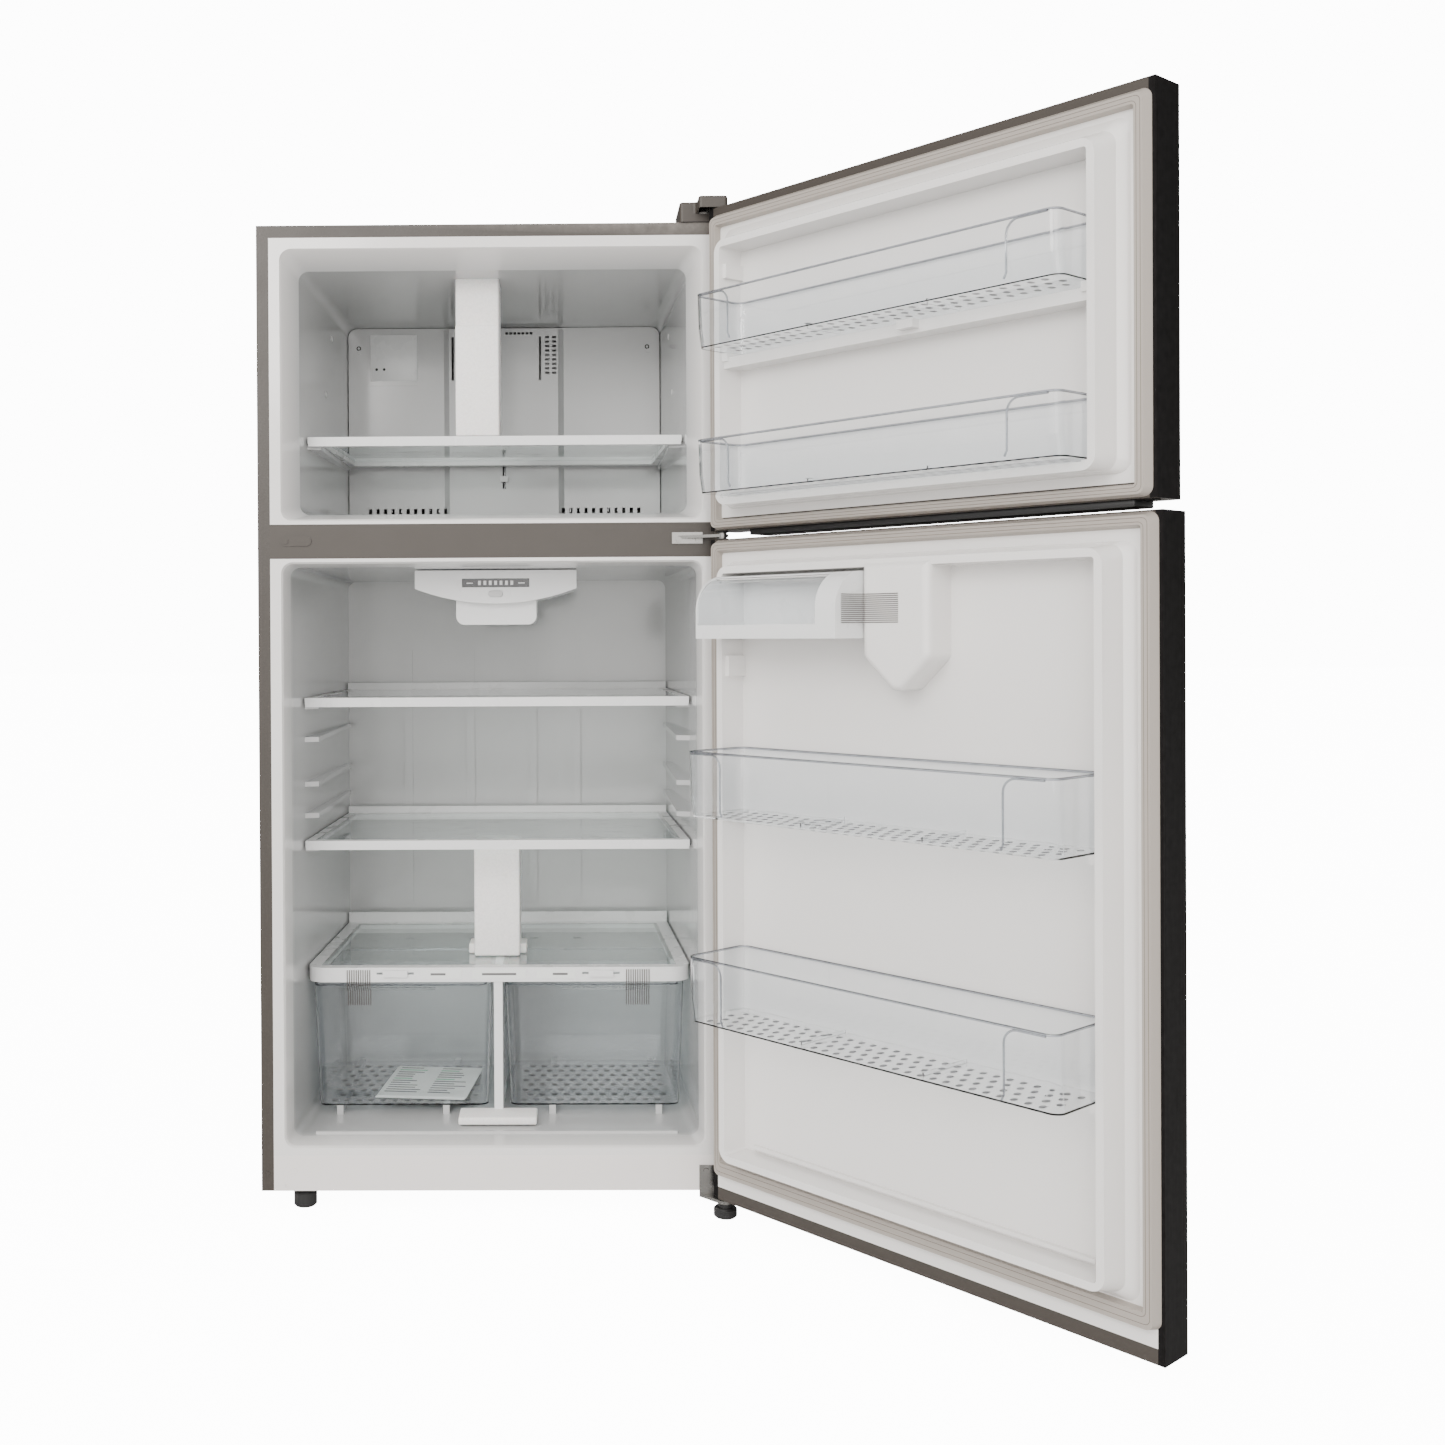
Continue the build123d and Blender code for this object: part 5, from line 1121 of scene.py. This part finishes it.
@dataclass
class Door:
    """One door: its skin, liner and seal, and the bins on it."""

    prefix: str
    place: Place
    body: Body
    bin_depth: float
    bin_from: float = 0.0645
    bin_to: float = 0.0755
    dimple: float = 0.0050
    dimple_step: float = 0.022
    dimple_row: float = 0.0250

    def dress(self) -> None:
        """Gives the door's carried-over nodes their finishes."""
        dress_nodes({f"{self.prefix}_door_skin": DARK_SHEET, f"{self.prefix}_door_caps": TAUPE_CAP,
                     f"{self.prefix}_door_liner": DOOR_LINER, f"{self.prefix}_door_gasket": SEAL,
                     f"{self.prefix}_door_foam": INSULATION, f"{self.prefix}_handle": DARK_SHEET,
                     f"{self.prefix}_bin_lower": CLEAR, f"{self.prefix}_bin_upper": CLEAR})

    def build(self) -> None:
        """Adds the bins' rims and dimples, the painted shade of the seal's grooves, the plugs and the freezer
        door's painted shade strip.
        """
        for level in ("lower", "upper"):
            self.bin_details(level)
        self.edge_plugs()
        self.groove_shade_beads()
        if self.prefix == "freezer":
            self.bottom_shade_strip()

    def bin_details(self, level: str) -> None:
        """Makes the rim bead and the floor dimples of a bin.

        Args:
            level: Which bin.
        """
        node = f"{self.prefix}_bin_{level}"
        body = Body(node)
        low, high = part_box(node)
        x0, x1 = self.bin_from, DOOR_WIDTH - HINGE_EDGE - self.bin_to
        y0, y1 = DOOR_IN - self.bin_depth, DOOR_IN - 0.004
        path = rounded_path(x0 + 0.0012, x1 - 0.0012, y0 + 0.0012, y1 - 0.0012, high.z - 0.0006, 0.015)
        add_piece(f"{node}_rim", sweep(path, 0.0019, closed=True), self.place, CLEAR_EDGE, body)
        for side, x_end, inward in (("hinge", x0, 1), ("free", x1, -1)):
            arch = self.end_arch(x_end, inward, y0 - 0.0004, low.z, high.z)
            add_piece(f"{node}_arch_{side}", sweep(arch, 0.0016, across=(0, 1, 0)), self.place, CLEAR_EDGE,
                      body)
        build = bmesh.new()
        row, y = 0, y0 + 0.026
        while y < y1 - 0.012:
            x = x0 + 0.030 + (row % 2) * self.dimple_step / 2
            while x < x1 - self.dimple_step:
                floor = surface(node, self.place, (x, y, low.z + 0.05), (0, 0, -1)).z
                add_dome(build, Vector((x, y, floor - SEATING)), self.dimple, 0.0075, 0.0007, 8)
                x += self.dimple_step
            y += self.dimple_row
            row += 1
        add_piece(f"{node}_dimples", build, self.place, DIMPLE, body)

    def end_arch(self, x_end: float, inward: int, y: float, z0: float, z1: float) -> list[Vector]:
        """Gives the path of the bead that frames a bin's end panel on its front.

        Args:
            x_end: The bin's end.
            inward: Direction to the bin's middle, 1 or -1.
            y: Front face of the bin.
            z0: Underside of the bin.
            z1: Rim of the bin.

        Returns:
            Points from the bin's floor up, over and down beside its end.
        """
        near, far, turn = x_end + inward * 0.014, x_end + inward * 0.078, 0.020
        points = [Vector((far + inward * 0.004, y, z0 + 0.006)), Vector((far, y, z0 + 0.014))]
        for k in range(7):
            a = math.pi / 2 * k / 6
            x = far - inward * turn * (1 - math.cos(a))
            points.append(Vector((x, y, z1 - turn - 0.003 + turn * math.sin(a))))
        points.append(Vector((near, y, z1 - 0.003)))
        return points

    def groove_shade_beads(self) -> None:
        """Makes two dark beads that run round the seal's face: painted shade in its two grooves."""
        seal = f"{self.prefix}_door_gasket"
        low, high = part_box(seal)
        middle = (low.z + high.z) / 2
        face = DOOR_IN - 0.0126
        hits = [u / 2000 for u in range(-22, 1660) if self.meets(seal, u / 2000, middle, face)]
        left = [u for u in hits if u < 0.2]
        right = [u for u in hits if u > 0.6]
        rises = [low.z + k / 2000 for k in range(0, 120) if self.meets(seal, 0.4, low.z + k / 2000, face)]
        falls = [high.z - k / 2000 for k in range(0, 120) if self.meets(seal, 0.4, high.z - k / 2000, face)]
        for number, share in ((1, 0.3), (2, 0.72)):
            x0 = left[0] + (left[-1] - left[0]) * share
            x1 = right[-1] + (right[0] - right[-1]) * share
            z0 = rises[0] + (rises[-1] - rises[0]) * share
            z1 = falls[0] + (falls[-1] - falls[0]) * share
            path = [Vector((x, face + 0.0006, z)) for x, z, _ in rounded_path(x0, x1, z0, z1, 0.0, 0.008)]
            bead = sweep(path, 0.0007, closed=True, across=(0, 1, 0))
            add_piece(f"{self.prefix}_seal_groove_shade_{number}", bead, self.place, GROOVE_SHADE, self.body)

    def meets(self, node: str, x: float, z: float, face: float) -> bool:
        """Tells whether a node has a face at a depth behind a point of the door.

        Args:
            node: The node.
            x: Distance from the hinge axis.
            z: Height.
            face: Depth of the face looked for.

        Returns:
            True when the node's nearest face is within a millimetre of that depth.
        """
        matrix = self.place.matrix()
        hit, point, _, _ = frame["nodes"][node].ray_cast(matrix @ Vector((x, -0.2, z)),
                                                         matrix.to_3x3() @ Vector((0, 1, 0)))
        return bool(hit) and abs((matrix.inverted() @ point).y - face) < 0.001

    def bottom_shade_strip(self) -> None:
        """Makes the black strip under the freezer door, painted shade of the gap between the doors."""
        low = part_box(f"{self.prefix}_door_skin")[0]
        build = bmesh.new()
        add_block(build, (0.075, 0.785), (-0.010, 0.040), (low.z - 0.0102, low.z + 0.0004), 0.0016)
        add_piece("freezer_door_shade_strip", build, self.place, BLACK, self.body)

    def edge_plugs(self) -> None:
        """Makes the two round plugs under the door's free end."""
        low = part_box(f"{self.prefix}_door_skin")[0]
        build = bmesh.new()
        for x in (0.792, 0.806):
            bmesh.ops.create_cone(build, segments=20, radius1=0.0055, radius2=0.0045, depth=0.005,
                                  cap_ends=True, matrix=Matrix.Translation((x, 0.010, low.z + 0.0008)))
        add_piece(f"{self.prefix}_door_plugs", build, self.place, BLACK, self.body)


@dataclass
class DairyBin:
    """The butter bin at the head of the fridge door and the tape across it."""

    place: Place = FRIDGE_DOOR

    def dress(self) -> None:
        """Gives the bin and its lid their finishes."""
        dress_nodes({"dairy_housing": FITTING, "dairy_cover": CLEAR})

    def build(self) -> None:
        """Makes the threaded tape from the bin's end to the liner's boss."""
        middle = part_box("dairy_housing")[1].z - 0.058
        lines = [self.tape_path(middle + k * 0.0031) for k in range(-7, 8)]
        add_piece("dairy_tape", threads(lines, Vector((0, 0, 0.0007))), self.place, THREAD, Body.FRIDGE_DOOR)

    def tape_path(self, z: float) -> list[Vector]:
        """Follows the bin's end and the liner's boss at a height.

        Args:
            z: Height of the thread.

        Returns:
            Local points along the thread.
        """
        points = [Vector((0.3614, -0.122, z)), Vector((0.3614, -0.108, z)), Vector((0.3620, -0.096, z)),
                  Vector((0.3655, -0.086, z))]
        for k in range(9):
            on_liner = surface("fridge_door_liner", self.place, (0.3725 + 0.0075 * k, -0.30, z), (0, 1, 0))
            points.append(on_liner - Vector((0, 0.0008, 0)))
        return points


def dress_nodes(finishes: dict[str, Finish]) -> None:
    """Assigns finishes to carried-over nodes.

    Args:
        finishes: Finish of each node, by name.
    """
    for node, finish in finishes.items():
        piece = frame["nodes"][node]
        piece.data.materials.clear()
        piece.data.materials.append(Palette.get(finish))
        log.info("%s: %s", node, finish.name)


@dataclass
class Studio:
    """Floor, lights and camera."""

    focal_share: float = 1.06235
    stand: Vector = field(default_factory=lambda: Vector((0.1382, -2.7213, 1.0221)))
    shift: tuple[float, float] = (0.1152, -0.0551)
    tilt: float = -0.308
    turn: float = 0.533
    roll: float = 0.306
    bright_side: Vector = field(default_factory=lambda: Vector((-0.30, -0.90, 0.25)))
    sky: float = 2.9
    gloom: float = 0.28
    backdrop: float = 16.0

    def floor(self) -> None:
        """Makes the pale, level floor."""
        build = bmesh.new()
        rows = []
        for y in (-9.0, 0.0, 9.0, 40.0):
            rows.append([build.verts.new((x, y, 0.0)) for x in (-30.0, 0.0, 30.0)])
        for first, second in zip(rows, rows[1:]):
            for k in range(2):
                build.faces.new((first[k], first[k + 1], second[k + 1], second[k]))
        mesh = mesh_from("floor", build)
        mesh.materials.append(Palette.get(FloorPaint("studio_floor", (0.90, 0.90, 0.90), 0.8)))
        piece = bpy.data.objects.new("floor", mesh)
        bpy.context.scene.collection.objects.link(piece)

    def lamp(self, name: str, place: Vector, aim: Vector, size: float, power: float, colour: Colour) -> None:
        """Makes a soft square lamp.

        Args:
            name: Lamp name.
            place: Where it hangs.
            aim: Point it looks at.
            size: Side in metres.
            power: Watts.
            colour: Its colour.
        """
        data = bpy.data.lights.new(name, "AREA")
        data.size, data.energy, data.color = size, power, colour
        lamp = bpy.data.objects.new(name, data)
        lamp.location = place
        lamp.rotation_euler = (aim - place).to_track_quat("-Z", "Y").to_euler()
        bpy.context.scene.collection.objects.link(lamp)

    def light(self) -> None:
        """Makes the world light and the soft lamps."""
        world = bpy.data.worlds.new("studio")
        world.use_nodes = True
        tree = world.node_tree
        soft = tree.nodes["Background"]
        soft.inputs["Color"].default_value = (1.0, 0.98, 0.955, 1)
        facing = add_node(tree, "ShaderNodeVectorMath", operation="DOT_PRODUCT")
        facing.inputs[1].default_value = self.bright_side.normalized()
        tree.links.new(add_node(tree, "ShaderNodeTexCoord").outputs["Generated"], facing.inputs[0])
        toward = calculate(tree, "MAXIMUM", facing.outputs["Value"], 0.0)
        glow = calculate(tree, "MULTIPLY", calculate(tree, "POWER", toward, 1.4), self.sky)
        tree.links.new(calculate(tree, "ADD", glow, self.gloom), soft.inputs["Strength"])
        white = add_node(tree, "ShaderNodeBackground")
        white.inputs["Strength"].default_value = self.backdrop
        split_by_ray(tree, "Is Camera Ray", soft.outputs["Background"], white.outputs["Background"],
                     "World Output")
        bpy.context.scene.world = world
        aim = CABINET.at(0.1, 0.1, 1.0)
        self.lamp("key", CABINET.at(-1.3, -3.0, 2.6), aim, 1.4, 55, (1.0, 0.97, 0.94))
        self.lamp("fill", CABINET.at(0.9, -3.6, 1.3), aim, 1.8, 20, (1.0, 0.97, 0.95))

    def camera(self) -> None:
        """Makes the camera in front of the open cabinet."""
        data = bpy.data.cameras.new("camera")
        data.sensor_width = 36.0
        data.lens = 36.0 * self.focal_share
        data.shift_x, data.shift_y = self.shift
        camera = bpy.data.objects.new("camera", data)
        camera.location = CABINET.at(*self.stand)
        camera.rotation_euler = (math.radians(90 + self.tilt), math.radians(self.roll),
                                 math.radians(self.turn))
        bpy.context.scene.collection.objects.link(camera)
        bpy.context.scene.camera = camera


def main() -> None:
    """Builds the looks of the whole refrigerator and its studio."""
    logging.basicConfig(level=logging.INFO, format="%(name)s %(message)s")
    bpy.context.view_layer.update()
    assemblies = (Shell(), Interior(), Door("freezer", FREEZER_DOOR, Body.FREEZER_DOOR, 0.114),
                  Door("fridge", FRIDGE_DOOR, Body.FRIDGE_DOOR, 0.142), DairyBin())
    for assembly in assemblies:
        assembly.dress()
        assembly.build()
        log.info("%s is done", type(assembly).__name__)
    studio = Studio()
    studio.floor()
    studio.light()
    studio.camera()


if __name__ == "__main__":
    main()
